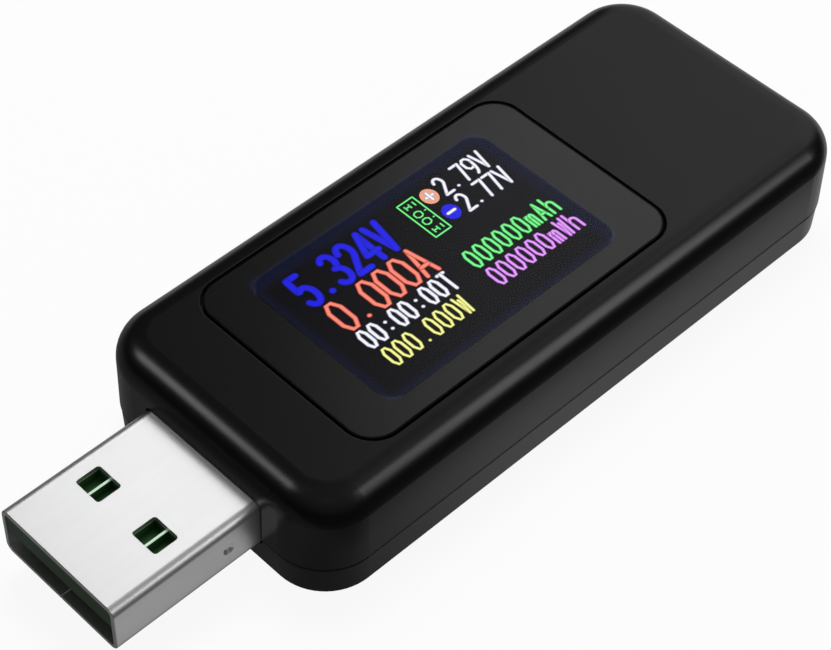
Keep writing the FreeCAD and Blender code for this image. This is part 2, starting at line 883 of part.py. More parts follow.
def make_switch_dome():
    """Snap dome: a shallow sprung cap with its rim on the roof of the chamber."""
    rim_height = board_bottom - switch_roof
    crown_height = plunger_shoulder() + plunger_flange_thickness
    rim_radius = switch_chamber_radius - plunger_clearance
    rise = rim_height - crown_height
    crown = Vector(button_station, 0, crown_height)
    outer = Part.makeCone(plunger_radius, rim_radius, rise, crown)
    inner = Part.makeCone(plunger_radius - dome_thickness, rim_radius - dome_thickness, rise,
                          crown + Vector(0, 0, dome_thickness))
    return outer.cut(inner)


def make_switch_terminals():
    """Four soldered feet at the corners of the switch."""
    feet = []
    foot_height = board_bottom - lead_thickness / 2
    for x_side in (1, -1):
        for y_side in (1, -1):
            near = button_station + x_side * switch_size / 2
            far = near + x_side * lead_reach
            y = y_side * terminal_spacing / 2
            feet.append(block(min(near, far), max(near, far), y - terminal_width / 2, y + terminal_width / 2,
                              foot_height - lead_thickness / 2, board_bottom))
    return feet


# ---------------------------------------------------------------- parts on the board

def gull_lead(x, y, turn, body_height, bottom):
    """One bent lead that leaves a chip's side and lands on the board."""
    shoulder = bottom + body_height / 2
    foot = bottom + lead_thickness / 2
    runs = [
        (0, shoulder),
        (lead_shoulder, shoulder),
        (lead_reach - lead_foot, foot),
        (lead_reach, foot),
    ]
    lead = bent_strip(runs, 0, 0, lead_width, lead_thickness)
    lead.rotate(Vector(0, 0, 0), Vector(0, 0, 1), turn)
    lead.translate(Vector(x, y, 0))
    return lead


def lead_row(x, y, length, width, count, pitch, turn, body_height):
    """A row of leads along one side of a chip."""
    leads = []
    sideways = turn % 180 == 90
    for number in range(count):
        offset = (number - (count - 1) / 2) * pitch
        if sideways:
            side = 1 if turn == 90 else -1
            leads.append(gull_lead(x + offset, y + side * width / 2, turn, body_height, board_top))
        else:
            side = 1 if turn == 0 else -1
            leads.append(gull_lead(x + side * length / 2, y + offset, turn, body_height, board_top))
    return leads


def power_column():
    """Middle of the column of power parts behind the plug's contacts."""
    return plug_tail + contact_foot + 3 * contact_thickness + part_spacing + shunt_length / 2


def logic_column():
    """Middle of the column of logic parts in front of the flex's foot."""
    foot_start = glass_end + flex_standoff - flex_foot
    return foot_start - part_spacing - lead_reach - chip_size / 2


def chip_across():
    """The microcontroller lies to one side of the board."""
    return -chip_size / 2 - lead_reach / 2


def memory_across():
    """The memory chip lies to the other side."""
    return memory_width / 2 + 2 * lead_reach + part_spacing / 2


def make_microcontroller():
    """Square moulded chip package."""
    low = board_top + chip_standoff
    body = centred_block(logic_column(), chip_across(), chip_size, chip_size, low, low + chip_height)
    return body.makeChamfer(chip_standoff, edges_at(body, low + chip_height))


def make_microcontroller_leads():
    """Leads on all four sides of the microcontroller."""
    leads = []
    for turn in (0, 90, 180, 270):
        leads.extend(lead_row(logic_column(), chip_across(), chip_size, chip_size,
                              chip_leads_per_side, chip_lead_pitch, turn, chip_height))
    return leads


def make_memory_chip():
    """Small moulded chip package that stores the settings."""
    low = board_top + chip_standoff
    body = centred_block(logic_column(), memory_across(), memory_length, memory_width,
                         low, low + memory_height)
    return body.makeChamfer(chip_standoff, edges_at(body, low + memory_height))


def make_memory_chip_leads():
    """Leads on the two long sides of the memory chip."""
    leads = []
    for turn in (90, 270):
        leads.extend(lead_row(logic_column(), memory_across(), memory_length, memory_width,
                              memory_leads_per_side, memory_lead_pitch, turn, memory_height))
    return leads


def board_side():
    """How far the board reaches to each side."""
    return housing_width / 2 - wall - wall_lean - board_clearance


def make_shunt_resistor():
    """Metal strip resistor that senses the current."""
    y = part_spacing + shunt_width / 2 - board_side()
    return centred_block(power_column(), y, shunt_length - 2 * shunt_terminal, shunt_width,
                         board_top + chip_standoff, board_top + shunt_height)


def make_shunt_terminals():
    """Copper ends of the shunt resistor."""
    y = part_spacing + shunt_width / 2 - board_side()
    ends = []
    for side in (1, -1):
        x = power_column() + side * (shunt_length - shunt_terminal) / 2
        ends.append(centred_block(x, y, shunt_terminal, shunt_width, board_top, board_top + shunt_height))
    return ends


def make_protection_diode():
    """Moulded clamp diode across the supply."""
    y = board_side() - part_spacing - diode_width / 2
    body = centred_block(power_column(), y, diode_length, diode_width,
                         board_top, board_top + diode_height)
    return body.makeChamfer(chip_standoff, edges_at(body, board_top + diode_height))


def make_regulator():
    """Moulded voltage regulator."""
    y = board_side() - 2 * part_spacing - diode_width - regulator_width / 2
    body = centred_block(power_column(), y, regulator_length, regulator_width,
                         board_top, board_top + regulator_height)
    return body.makeChamfer(chip_standoff, edges_at(body, board_top + regulator_height))


def make_tantalum_capacitor():
    """Moulded reservoir capacitor."""
    y = 2 * part_spacing + shunt_width + tantalum_width / 2 - board_side()
    body = centred_block(power_column(), y, tantalum_length, tantalum_width,
                         board_top, board_top + tantalum_height)
    return body.makeChamfer(chip_standoff, edges_at(body, board_top + tantalum_height))


def make_crystal():
    """Lidded crystal can beside the microcontroller."""
    x = logic_column() - chip_size / 2 - lead_reach - part_spacing - crystal_width / 2
    return rounded_plate(x - crystal_width / 2, x + crystal_width / 2,
                         chip_across() - crystal_length / 2, chip_across() + crystal_length / 2,
                         crystal_corner_radius, board_top, board_top + crystal_height)


def capacitor_places():
    """Spots of the ceramic capacitors: two by the regulator, two beyond the crystal's ends."""
    x_power = power_column() - shunt_length / 2 + capacitor_width / 2
    x_logic = logic_column() - chip_size / 2 - lead_reach - part_spacing - capacitor_width / 2
    y_crystal = crystal_length / 2 + part_spacing + capacitor_length / 2
    return [
        (x_power, 0),
        (x_power + capacitor_width + part_spacing, 0),
        (x_logic, chip_across() + y_crystal),
        (x_logic, chip_across() - y_crystal),
    ]


def resistor_places():
    """Spots of the chip resistors: a row past the memory chip and two by the power parts."""
    x_row = logic_column() - memory_length / 2 - part_spacing - resistor_width / 2
    row = []
    for number in range(4):
        row.append((x_row - number * (resistor_width + part_spacing), memory_across()))
    x_power = power_column() + shunt_length / 2 - resistor_width / 2
    row.append((x_power, 0))
    row.append((x_power - resistor_width - part_spacing, 0))
    return row


def make_ceramic_capacitors():
    """Ceramic bodies of the chip capacitors."""
    inner = capacitor_length - 2 * end_cap
    return [centred_block(x, y, capacitor_width, inner, board_top, board_top + capacitor_height)
            for x, y in capacitor_places()]


def make_chip_resistors():
    """Ceramic bodies of the chip resistors."""
    inner = resistor_length - 2 * end_cap
    return [centred_block(x, y, resistor_width, inner, board_top, board_top + resistor_height)
            for x, y in resistor_places()]


def make_chip_end_caps():
    """Tinned ends of every chip capacitor and resistor."""
    caps = []
    kinds = (
        (capacitor_places(), capacitor_length, capacitor_width, capacitor_height),
        (resistor_places(), resistor_length, resistor_width, resistor_height),
    )
    for places, length, width, height in kinds:
        for x, y in places:
            for side in (1, -1):
                caps.append(centred_block(x, y + side * (length - end_cap) / 2, width, end_cap,
                                          board_top, board_top + height))
    return caps


def make_foam_pad():
    """Foam block that presses the display up from the board."""
    start = power_column() + shunt_length / 2 + part_spacing
    row_end = min(x for x, _ in resistor_places() if x > start) - resistor_width / 2
    crystal_edge = logic_column() - chip_size / 2 - lead_reach - 2 * part_spacing - crystal_width
    end = min(row_end - part_spacing, crystal_edge)
    half = foam_width / 2
    return block(start, end, view_shift_across - half, view_shift_across + half,
                 board_top, backlight_bottom)


# ---------------------------------------------------------------- write the pieces

PIECES = {
    "upper_shell": make_upper_shell,
    "lower_cover": make_lower_cover,
    "window_lens": make_window_lens,
    "lens_mask": make_lens_mask,
    "lens_tape": make_lens_tape,
    "display_gasket": make_display_gasket,
    "display_glass": make_display_glass,
    "display_driver_chip": make_display_driver_chip,
    "display_backlight": make_display_backlight,
    "display_flex": make_display_flex,
    "foam_pad": make_foam_pad,
    "main_board": make_main_board,
    "plug_shell": make_plug_shell,
    "plug_insulator": make_plug_insulator,
    "plug_contacts": make_plug_contacts,
    "socket_shell": make_socket_shell,
    "socket_insulator": make_socket_insulator,
    "socket_contacts": make_socket_contacts,
    "button_cap": make_button_cap,
    "switch_plunger": make_switch_plunger,
    "switch_dome": make_switch_dome,
    "switch_plate": make_switch_plate,
    "switch_body": make_switch_body,
    "switch_terminals": make_switch_terminals,
    "microcontroller": make_microcontroller,
    "microcontroller_leads": make_microcontroller_leads,
    "memory_chip": make_memory_chip,
    "memory_chip_leads": make_memory_chip_leads,
    "shunt_resistor": make_shunt_resistor,
    "shunt_terminals": make_shunt_terminals,
    "protection_diode": make_protection_diode,
    "regulator": make_regulator,
    "tantalum_capacitor": make_tantalum_capacitor,
    "crystal": make_crystal,
    "ceramic_capacitors": make_ceramic_capacitors,
    "chip_resistors": make_chip_resistors,
    "chip_end_caps": make_chip_end_caps,
}


def main():
    """Make each piece, shift it into the meter's frame and write it."""
    os.makedirs("parts", exist_ok=True)
    to_middle = Vector((plug_reach - housing_length) / 2, 0, 0)
    for name, make in PIECES.items():
        made = make()
        shape = Part.makeCompound(made) if isinstance(made, list) else made
        shape.translate(to_middle)
        shape.exportStep(os.path.join("parts", name + ".step"))
        size = shape.BoundBox
        print(f"{name}: {len(shape.Solids)} solid, {shape.Volume:.1f} mm3, valid {shape.isValid()}, "
              f"{size.XLength:.2f} x {size.YLength:.2f} x {size.ZLength:.2f} mm")


main()
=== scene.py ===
# %% [markdown]
# # Dressing a USB power meter
# The object is a small in-line meter: a black moulded housing about 56 mm long, with a bright
# USB-A plug at one end, a socket at the other and a colour display behind a clear window.
# Every solid piece already exists at its real size, so this lesson is about surfaces, light and
# the lit picture on the display.  We start by loading the pieces.  They stay where they are, and
# their overall box is measured.

import json
import math
import bpy
import bmesh
from mathutils import Matrix, Vector

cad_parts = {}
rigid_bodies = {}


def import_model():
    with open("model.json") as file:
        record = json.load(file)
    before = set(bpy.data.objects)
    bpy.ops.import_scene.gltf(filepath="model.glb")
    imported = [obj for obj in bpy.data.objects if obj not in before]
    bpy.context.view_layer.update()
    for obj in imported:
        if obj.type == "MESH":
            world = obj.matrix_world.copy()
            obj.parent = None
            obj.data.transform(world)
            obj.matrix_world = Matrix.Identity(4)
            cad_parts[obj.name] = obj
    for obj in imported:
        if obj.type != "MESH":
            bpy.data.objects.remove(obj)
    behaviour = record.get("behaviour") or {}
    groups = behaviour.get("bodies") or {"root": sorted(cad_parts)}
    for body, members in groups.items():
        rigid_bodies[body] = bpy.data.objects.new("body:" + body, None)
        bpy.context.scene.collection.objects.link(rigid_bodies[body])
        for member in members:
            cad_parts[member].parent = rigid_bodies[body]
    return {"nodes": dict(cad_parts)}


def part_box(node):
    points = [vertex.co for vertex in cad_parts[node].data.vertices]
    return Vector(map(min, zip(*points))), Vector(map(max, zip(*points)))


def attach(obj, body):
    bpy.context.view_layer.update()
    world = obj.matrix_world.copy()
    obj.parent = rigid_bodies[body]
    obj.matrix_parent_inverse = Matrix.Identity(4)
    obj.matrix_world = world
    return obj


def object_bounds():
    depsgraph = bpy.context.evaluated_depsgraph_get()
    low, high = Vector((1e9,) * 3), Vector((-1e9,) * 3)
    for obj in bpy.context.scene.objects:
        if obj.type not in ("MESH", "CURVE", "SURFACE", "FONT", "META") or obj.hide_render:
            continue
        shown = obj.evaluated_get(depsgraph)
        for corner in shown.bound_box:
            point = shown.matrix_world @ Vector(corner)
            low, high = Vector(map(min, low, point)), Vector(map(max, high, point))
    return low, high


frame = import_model()
cad_low, cad_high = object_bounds()
MM = 0.001
print("pieces:", len(frame["nodes"]), "overall mm:", [round(v / MM, 2) for v in cad_high - cad_low])

# %% [markdown]
# ## The camera
# A product shot of something this small is taken with a longish lens from a hand's length away.
# A camera in Blender looks down its own negative Z.  We stand it up by turning it about X, swing
# it round to its heading about the world's Z, and give it the slight roll of a hand-held shot
# about its own axis.  Three named angles are easier to change than a matrix of nine numbers.

# %% Place the camera
CAMERA_PLACE = Vector((-83.71, -81.49, 136.25)) * MM
CAMERA_HEADING = math.radians(-45.47)
CAMERA_ELEVATION = math.radians(48.64)
CAMERA_ROLL = math.radians(1.66)
FOCAL_LENGTH = 102.67

camera_data = bpy.data.cameras.new("camera")
camera_data.lens = FOCAL_LENGTH
camera_data.clip_start = 0.01
camera_data.clip_end = 20
camera = bpy.data.objects.new("camera", camera_data)
bpy.context.scene.collection.objects.link(camera)
bpy.context.scene.camera = camera
swing = Matrix.Rotation(CAMERA_HEADING, 4, "Z")
stand = Matrix.Rotation(math.pi / 2 - CAMERA_ELEVATION, 4, "X")
roll = Matrix.Rotation(CAMERA_ROLL, 4, "Z")
camera.matrix_world = Matrix.Translation(CAMERA_PLACE) @ swing @ stand @ roll
bpy.context.scene.view_settings.view_transform = "Standard"
print("camera is", round(CAMERA_PLACE.length / MM), "mm from the meter's foot")

# %% [markdown]
# ## Small helpers for node trees
# A material is a graph of nodes.  Written out one call at a time it gets long, so this helper
# adds a node, sets its options and fills its sockets in one go.  A socket takes either a plain
# value or another node's output, and the helper tells the two apart.

# %% A helper that adds one node
def add(tree, kind, inputs=None, **options):
    """Add a node, set its options, and give each named or numbered input a value or a link."""
    made = tree.nodes.new(kind)
    for name, value in options.items():
        setattr(made, name, value)
    for socket, value in (inputs or {}).items():
        if isinstance(value, bpy.types.NodeSocket):
            tree.links.new(value, made.inputs[socket])
        else:
            made.inputs[socket].default_value = value
    return made


def math_node(tree, operation, *values):
    """One arithmetic step; returns its output."""
    return add(tree, "ShaderNodeMath", dict(enumerate(values)), operation=operation).outputs[0]


def spread(tree, value, low, high, out_low=0.0, out_high=1.0, smooth=True):
    """Stretch the part of a value between low and high over a new range."""
    inputs = {"Value": value, "From Min": low, "From Max": high, "To Min": out_low, "To Max": out_high}
    kind = "SMOOTHSTEP" if smooth else "LINEAR"
    return add(tree, "ShaderNodeMapRange", inputs, interpolation_type=kind).outputs["Result"]


def blend_colours(tree, factor, first, second):
    """Mix two colours by a factor; returns the mixed colour."""
    mix = add(tree, "ShaderNodeMix", {"Factor": factor}, data_type="RGBA")
    for socket, colour in ((mix.inputs[6], first), (mix.inputs[7], second)):
        if isinstance(colour, bpy.types.NodeSocket):
            tree.links.new(colour, socket)
        else:
            socket.default_value = (*colour, 1)
    return mix.outputs[2]


def object_axes(tree):
    """The X, Y and Z of a point on its own object, as three outputs."""
    where = add(tree, "ShaderNodeTexCoord").outputs["Object"]
    return add(tree, "ShaderNodeSeparateXYZ", {0: where}).outputs


def tone(grey_level):
    """The linear value of a grey given on the usual 0 to 255 scale."""
    share = grey_level / 255
    return share / 12.92 if share <= 0.04045 else ((share + 0.055) / 1.055) ** 2.4


def colour(red, green, blue):
    """A linear colour from levels on the 0 to 255 scale."""
    return tone(red), tone(green), tone(blue)

# %% [markdown]
# ## Floor and sky
# Black plastic and bright metal are shaped by what they reflect, far more than by their own
# colour.  The meter lies on a pale floor.  The sky is a soft grey that is brightest behind the
# meter and nearly dark on the camera's side, as in a studio where the photographer stands in
# the dark: that gives the rounded top edge its black line under the bright one.  The floor's own
# paint is kept dark and a glow is added that only the camera and clear plastic see, so that it
# reads as white while the meter's shadow stays on it.  A strip of it beside the meter also shows
# in reflections, as a white card would, and lightens the side wall.

# %% The floor
# Reflections see the strip of floor beside the meter out to CARD_EDGE in Y, where it fades, and
# its level rises along X over CARD_FADE.
FLOOR_SIZE = 4.0
FLOOR_DROP = 0.02 * MM
FLOOR_COLOUR = (0.08, 0.08, 0.08, 1)
CAMERA_LIFT = 0.92
CARD_EDGE = (-17.8 * MM, -15.0 * MM)
CARD_FADE = (-26 * MM, 4 * MM)
CARD_LIFT = (0.08, 0.42)

floor_mesh = bpy.data.meshes.new("floor")
half_floor = FLOOR_SIZE / 2
corners = [(-half_floor, -half_floor), (half_floor, -half_floor),
           (half_floor, half_floor), (-half_floor, half_floor)]
floor_mesh.from_pydata([(x, y, cad_low.z - FLOOR_DROP) for x, y in corners], [], [(0, 1, 2, 3)])
floor = bpy.data.objects.new("floor", floor_mesh)
bpy.context.scene.collection.objects.link(floor)

floor_material = bpy.data.materials.new("pale_floor")
floor_material.use_nodes = True
tree = floor_material.node_tree
tree.nodes.clear()
rays = add(tree, "ShaderNodeLightPath").outputs
clear_view = math_node(tree, "MAXIMUM", rays["Is Camera Ray"], rays["Is Transmission Ray"])
camera_lift = math_node(tree, "MULTIPLY", clear_view, CAMERA_LIFT)
place_on_floor = object_axes(tree)
on_card = spread(tree, place_on_floor["Y"], *CARD_EDGE)
beside_housing = spread(tree, place_on_floor["X"], *CARD_FADE, *CARD_LIFT)
graded = math_node(tree, "MULTIPLY", on_card, beside_housing)
mirror_lift = math_node(tree, "MULTIPLY", rays["Is Glossy Ray"], graded)
lift = math_node(tree, "MAXIMUM", camera_lift, mirror_lift)
paint = add(tree, "ShaderNodeBsdfDiffuse", {"Color": FLOOR_COLOUR})
glow = add(tree, "ShaderNodeEmission", {"Strength": lift})
both = add(tree, "ShaderNodeAddShader", {0: paint.outputs[0], 1: glow.outputs[0]})
add(tree, "ShaderNodeOutputMaterial", {"Surface": both.outputs[0]})
floor_mesh.materials.append(floor_material)
print("floor lies", FLOOR_DROP / MM, "mm under the meter")

# %% Directions
def compass(azimuth, elevation):
    """A unit direction; azimuth 0 is +X, counted towards +Y, and elevation is up from the floor."""
    turn = math.radians(azimuth)
    rise = math.radians(elevation)
    return Vector((math.cos(turn) * math.cos(rise), math.sin(turn) * math.cos(rise), math.sin(rise)))


def facing(tree, direction, towards):
    """How far a direction points towards a fixed one: 1 straight at it, 0 square to it."""
    dot = add(tree, "ShaderNodeVectorMath", {0: direction, 1: towards}, operation="DOT_PRODUCT")
    return dot.outputs["Value"]

# %% The sky
SKY_LEVELS = (0.02, 0.13)
# The glow is a soft bright patch behind the camera's right shoulder; the panel is a large pale
# wall behind the meter that brightens with height and fades at its sides, top and foot.
GLOW_PLACE = compass(-100, 55)
GLOW_REACH = (0.3, 1.0)
GLOW_LEVELS = (0.0, 0.12)
PANEL_HEIGHTS = (0.0, 0.72)
PANEL_LEVELS = (0.32, 0.76)
PANEL_TOP = (0.88, 0.80)
PANEL_FOOT = (-0.10, 0.0)
PANEL_SIDE = compass(-44.5, 0)
PANEL_SIDE_BLUR = 0.064
PANEL_END = Vector((-0.077, 0.889, 0.451))
PANEL_END_BLUR = 0.12

world = bpy.data.worlds.new("studio")
bpy.context.scene.world = world
world.use_nodes = True
tree = world.node_tree
tree.nodes.clear()
direction = add(tree, "ShaderNodeTexCoord").outputs["Generated"]
height = add(tree, "ShaderNodeSeparateXYZ", {0: direction}).outputs["Z"]
dome = spread(tree, height, 0.0, 1.0, *SKY_LEVELS, smooth=False)
glow = spread(tree, facing(tree, direction, GLOW_PLACE), *GLOW_REACH, *GLOW_LEVELS)
dome = math_node(tree, "ADD", dome, glow)
panel = spread(tree, height, *PANEL_HEIGHTS, *PANEL_LEVELS, smooth=False)
for limit in (spread(tree, facing(tree, direction, PANEL_SIDE), -PANEL_SIDE_BLUR, PANEL_SIDE_BLUR),
              spread(tree, facing(tree, direction, PANEL_END), -PANEL_END_BLUR, PANEL_END_BLUR),
              spread(tree, height, *PANEL_TOP), spread(tree, height, *PANEL_FOOT)):
    panel = math_node(tree, "MULTIPLY", panel, limit)
level = math_node(tree, "ADD", dome, panel)
seen = add(tree, "ShaderNodeLightPath").outputs["Is Camera Ray"]
level = add(tree, "ShaderNodeMix", {"Factor": seen, "A": level, "B": 1.0}).outputs["Result"]
sky = add(tree, "ShaderNodeBackground", {"Strength": level})
add(tree, "ShaderNodeOutputWorld", {"Surface": sky.outputs[0]})

# %% [markdown]
# ## Lamps
# A softbox is an area lamp that faces the meter.  Two of them draw the bright lines along the
# rolled edges.  A large third one gives diffuse light only: it is hidden from reflections, which
# would show it as a white patch on the flat top.  Bright metal and black plastic ask for
# different reflections, so the plug has lamps of its own.  Two of those are cards a few
# millimetres wide, one on the floor and one in front of the housing, that its side mirrors.
# Light linking limits a lamp to a collection of pieces, as a flag beside a studio lamp would.

# %% Helpers that place and limit a lamp
LAMP_DISTANCE = 0.5


def area_lamp(name, size, brightness, place_and_turn):
    """A rectangular lamp that the camera does not see; it shines along its own negative Z."""
    lamp = bpy.data.lights.new(name, "AREA")
    lamp.shape = "RECTANGLE"
    lamp.size, lamp.size_y = size
    lamp.energy = brightness * math.pi * size[0] * size[1]
    holder = bpy.data.objects.new(name, lamp)
    holder.matrix_world = place_and_turn
    holder.visible_camera = False
    bpy.context.scene.collection.objects.link(holder)
    return holder


def softbox(name, azimuth, elevation, size, brightness):
    """A lamp that faces the meter from a compass direction."""
    towards = compass(azimuth, elevation)
    turned = towards.to_track_quat("Z", "Y").to_matrix().to_4x4()
    return area_lamp(name, size, brightness, Matrix.Translation(towards * LAMP_DISTANCE) @ turned)


def shines_on(lamp, pieces):
    """Limit a lamp to some pieces."""
    lit = bpy.data.collections.new(lamp.name + "_lights")
    for piece in pieces:
        lit.objects.link(piece)
    lamp.light_linking.receiver_collection = lit

# %% Softboxes for the whole meter
nodes = frame["nodes"]
left_box = softbox("left_box", azimuth=131, elevation=46, size=(0.15, 0.15), brightness=3.8)
right_box = softbox("right_box", azimuth=-54, elevation=31, size=(0.15, 0.24), brightness=2.8)
fill_box = softbox("fill_box", azimuth=45, elevation=66, size=(0.25, 0.25), brightness=8.0)
fill_box.visible_glossy = False
fill_box.visible_transmission = False
shines_on(left_box, [node for name, node in nodes.items() if name not in ("plug_shell", "window_lens")])
shines_on(right_box, [node for name, node in nodes.items() if name != "window_lens"])

# %% The plug's own lamps
CARD_WIDTH = 5 * MM
CARD_GAP = 0.05 * MM
CARD_BRIGHTNESS = 0.23
plug_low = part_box("plug_shell")[0]
housing_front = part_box("upper_shell")[0].x
plug_box = softbox("plug_box", azimuth=57, elevation=53, size=(0.16, 0.16), brightness=2.25)
plug_front_box = softbox("plug_front_box", azimuth=225, elevation=42, size=(0.25, 0.20), brightness=1.1)
card_y = plug_low.y - CARD_WIDTH / 2
floor_place = Matrix.Translation(((plug_low.x + housing_front) / 2, card_y, cad_low.z + CARD_GAP))
floor_card = area_lamp("floor_card", (housing_front - plug_low.x, CARD_WIDTH), CARD_BRIGHTNESS,
                       floor_place @ Matrix.Rotation(math.pi, 4, "X"))
wall_place = Matrix.Translation((housing_front - CARD_GAP, card_y, (cad_low.z + plug_low.z) / 2))
wall_card = area_lamp("wall_card", (plug_low.z - cad_low.z, CARD_WIDTH), CARD_BRIGHTNESS,
                      wall_place @ Matrix.Rotation(math.pi / 2, 4, "Y"))
for lamp in (plug_box, plug_front_box, floor_card, wall_card):
    shines_on(lamp, [nodes["plug_shell"]])

# %% [markdown]
# ## Effects that several materials share
# Real surfaces are never one flat value.  Moulded plastic carries the fine orange-peel grain of
# its mould, edges are rubbed smoother than faces, and rolled sheet metal shows lines along the
# way it was rolled.  Each effect is built once as a node group with its own inputs, and placed
# in every material that needs it.  A group hands out only masks, values and normals, so that a
# material can decide for itself what they do.

# %% A helper that starts a node group
def new_group(name, inputs, outputs):
    """A shader node group with float inputs and typed outputs; returns the tree and its two ends."""
    group = bpy.data.node_groups.new(name, "ShaderNodeTree")
    for socket, default in inputs:
        made = group.interface.new_socket(socket, in_out="INPUT", socket_type="NodeSocketFloat")
        made.default_value = default
    for socket, kind in outputs:
        group.interface.new_socket(socket, in_out="OUTPUT", socket_type="NodeSocket" + kind)
    start = group.nodes.new("NodeGroupInput")
    end = group.nodes.new("NodeGroupOutput")
    return group, start.outputs, end.inputs


def place(tree, group, **values):
    """Put a node group into a material; returns its outputs."""
    made = add(tree, "ShaderNodeGroup", node_tree=group)
    for name, value in values.items():
        made.inputs[name.replace("_", " ")].default_value = value
    return made.outputs

# %% Mould grain
def build_mould_grain():
    """Fine bumps left by a spark-eroded mould, with slow patches where it filled differently."""
    group, start, end = new_group("mould_grain", [("Size", 0.08 * MM), ("Patch Size", 6 * MM)],
                                  [("Height", "Float"), ("Patches", "Float")])
    place_on_piece = add(group, "ShaderNodeTexCoord").outputs["Object"]
    fine_scale = math_node(group, "DIVIDE", 1.0, start["Size"])
    slow_scale = math_node(group, "DIVIDE", 1.0, start["Patch Size"])
    fine = add(group, "ShaderNodeTexNoise",
               {"Vector": place_on_piece, "Scale": fine_scale, "Detail": 2.0, "Roughness": 0.55})
    slow = add(group, "ShaderNodeTexNoise",
               {"Vector": place_on_piece, "Scale": slow_scale, "Detail": 3.0, "Roughness": 0.6})
    group.links.new(fine.outputs["Fac"], end["Height"])
    group.links.new(slow.outputs["Fac"], end["Patches"])
    return group


mould_grain = build_mould_grain()

# %% Soft and rubbed edges
def build_soft_edges():
    """A normal that rounds every sharp edge a little, and a mask of where those edges are."""
    group, start, end = new_group("soft_edges", [("Radius", 0.05 * MM)],
                                  [("Normal", "Vector"), ("Mask", "Float")])
    rounded = add(group, "ShaderNodeBevel", {"Radius": start["Radius"]}, samples=6).outputs["Normal"]
    flat = add(group, "ShaderNodeNewGeometry").outputs["Normal"]
    match = add(group, "ShaderNodeVectorMath", {0: rounded, 1: flat}, operation="DOT_PRODUCT")
    away_from_flat = math_node(group, "SUBTRACT", 1.0, match.outputs["Value"])
    where = add(group, "ShaderNodeTexCoord").outputs["Object"]
    broken = add(group, "ShaderNodeTexNoise", {"Vector": where, "Scale": 1.5 / MM, "Detail": 3.0})
    rubbed = math_node(group, "MULTIPLY", spread(group, away_from_flat, 0.01, 0.2),
                       spread(group, broken.outputs["Fac"], 0.35, 0.65, 0.4, 1.0))
    group.links.new(rounded, end["Normal"])
    group.links.new(rubbed, end["Mask"])
    return group


soft_edges = build_soft_edges()

# %% Rolled sheet lines
def build_rolled_lines():
    """Fine lines along X that rolling leaves in sheet metal, and slow bands beside them."""
    group, start, end = new_group("rolled_lines", [("Line Width", 0.03 * MM), ("Line Length", 2.5 * MM)],
                                  [("Lines", "Float"), ("Bands", "Float")])
    where = add(group, "ShaderNodeTexCoord").outputs["Object"]
    across = math_node(group, "DIVIDE", 1.0, start["Line Width"])
    along = math_node(group, "DIVIDE", 1.0, start["Line Length"])
    stretch = add(group, "ShaderNodeCombineXYZ", {"X": along, "Y": across, "Z": across}).outputs[0]
    stretched = add(group, "ShaderNodeVectorMath", {0: where, 1: stretch}, operation="MULTIPLY").outputs[0]
    lines = add(group, "ShaderNodeTexNoise", {"Vector": stretched, "Scale": 1.0, "Detail": 2.0})
    bands = add(group, "ShaderNodeTexNoise", {"Vector": stretched, "Scale": 0.06, "Detail": 2.0})
    group.links.new(lines.outputs["Fac"], end["Lines"])
    group.links.new(bands.outputs["Fac"], end["Bands"])
    return group


rolled_lines = build_rolled_lines()

# %% Dust
def build_dust():
    """Sparse specks on faces that look up."""
    group, start, end = new_group("dust", [("Speck Spacing", 0.9 * MM), ("Amount", 0.5)],
                                  [("Mask", "Float")])
    where = add(group, "ShaderNodeTexCoord").outputs["Object"]
    scale = math_node(group, "DIVIDE", 1.0, start["Speck Spacing"])
    cells = add(group, "ShaderNodeTexVoronoi", {"Vector": where, "Scale": scale})
    specks = spread(group, cells.outputs["Distance"], 0.05, 0.02)
    chosen = add(group, "ShaderNodeTexWhiteNoise", {"Vector": cells.outputs["Position"]}).outputs["Value"]
    kept = math_node(group, "LESS_THAN", chosen, start["Amount"])
    normal = add(group, "ShaderNodeNewGeometry").outputs["Normal"]
    upward = add(group, "ShaderNodeSeparateXYZ", {0: normal}).outputs["Z"]
    mask = math_node(group, "MULTIPLY", math_node(group, "MULTIPLY", specks, kept),
                     spread(group, upward, 0.5, 0.95))
    group.links.new(mask, end["Mask"])
    return group


dust = build_dust()

# %% Distance from the edge of a plate
def build_plate_edge():
    """How far a point lies inside the outline of a flat plate with rounded corners."""
    settings = [("Centre X", 0.0), ("Centre Y", 0.0), ("Half Length", 5 * MM), ("Half Width", 5 * MM),
                ("Corner", 1 * MM)]
    group, start, end = new_group("plate_edge", settings, [("Depth", "Float")])
    parts = object_axes(group)
    past = []
    for axis, half in (("X", "Half Length"), ("Y", "Half Width")):
        from_centre = math_node(group, "SUBTRACT", parts[axis], start["Centre " + axis])
        offset = math_node(group, "ABSOLUTE", from_centre)
        straight = math_node(group, "SUBTRACT", start[half], start["Corner"])
        past.append(math_node(group, "SUBTRACT", offset, straight))
    squares = [math_node(group, "POWER", math_node(group, "MAXIMUM", value, 0.0), 2.0) for value in past]
    round_part = math_node(group, "SQRT", math_node(group, "ADD", *squares))
    flat_part = math_node(group, "MINIMUM", math_node(group, "MAXIMUM", *past), 0.0)
    reached = math_node(group, "ADD", round_part, flat_part)
    group.links.new(math_node(group, "SUBTRACT", start["Corner"], reached), end["Depth"])
    return group


plate_edge = build_plate_edge()


def depth_inside(tree, low, high, corner):
    """Distance inside a plate whose outline box and corner radius are given."""
    return place(tree, plate_edge, Centre_X=(low.x + high.x) / 2, Centre_Y=(low.y + high.y) / 2,
                 Half_Length=(high.x - low.x) / 2, Half_Width=(high.y - low.y) / 2, Corner=corner)["Depth"]

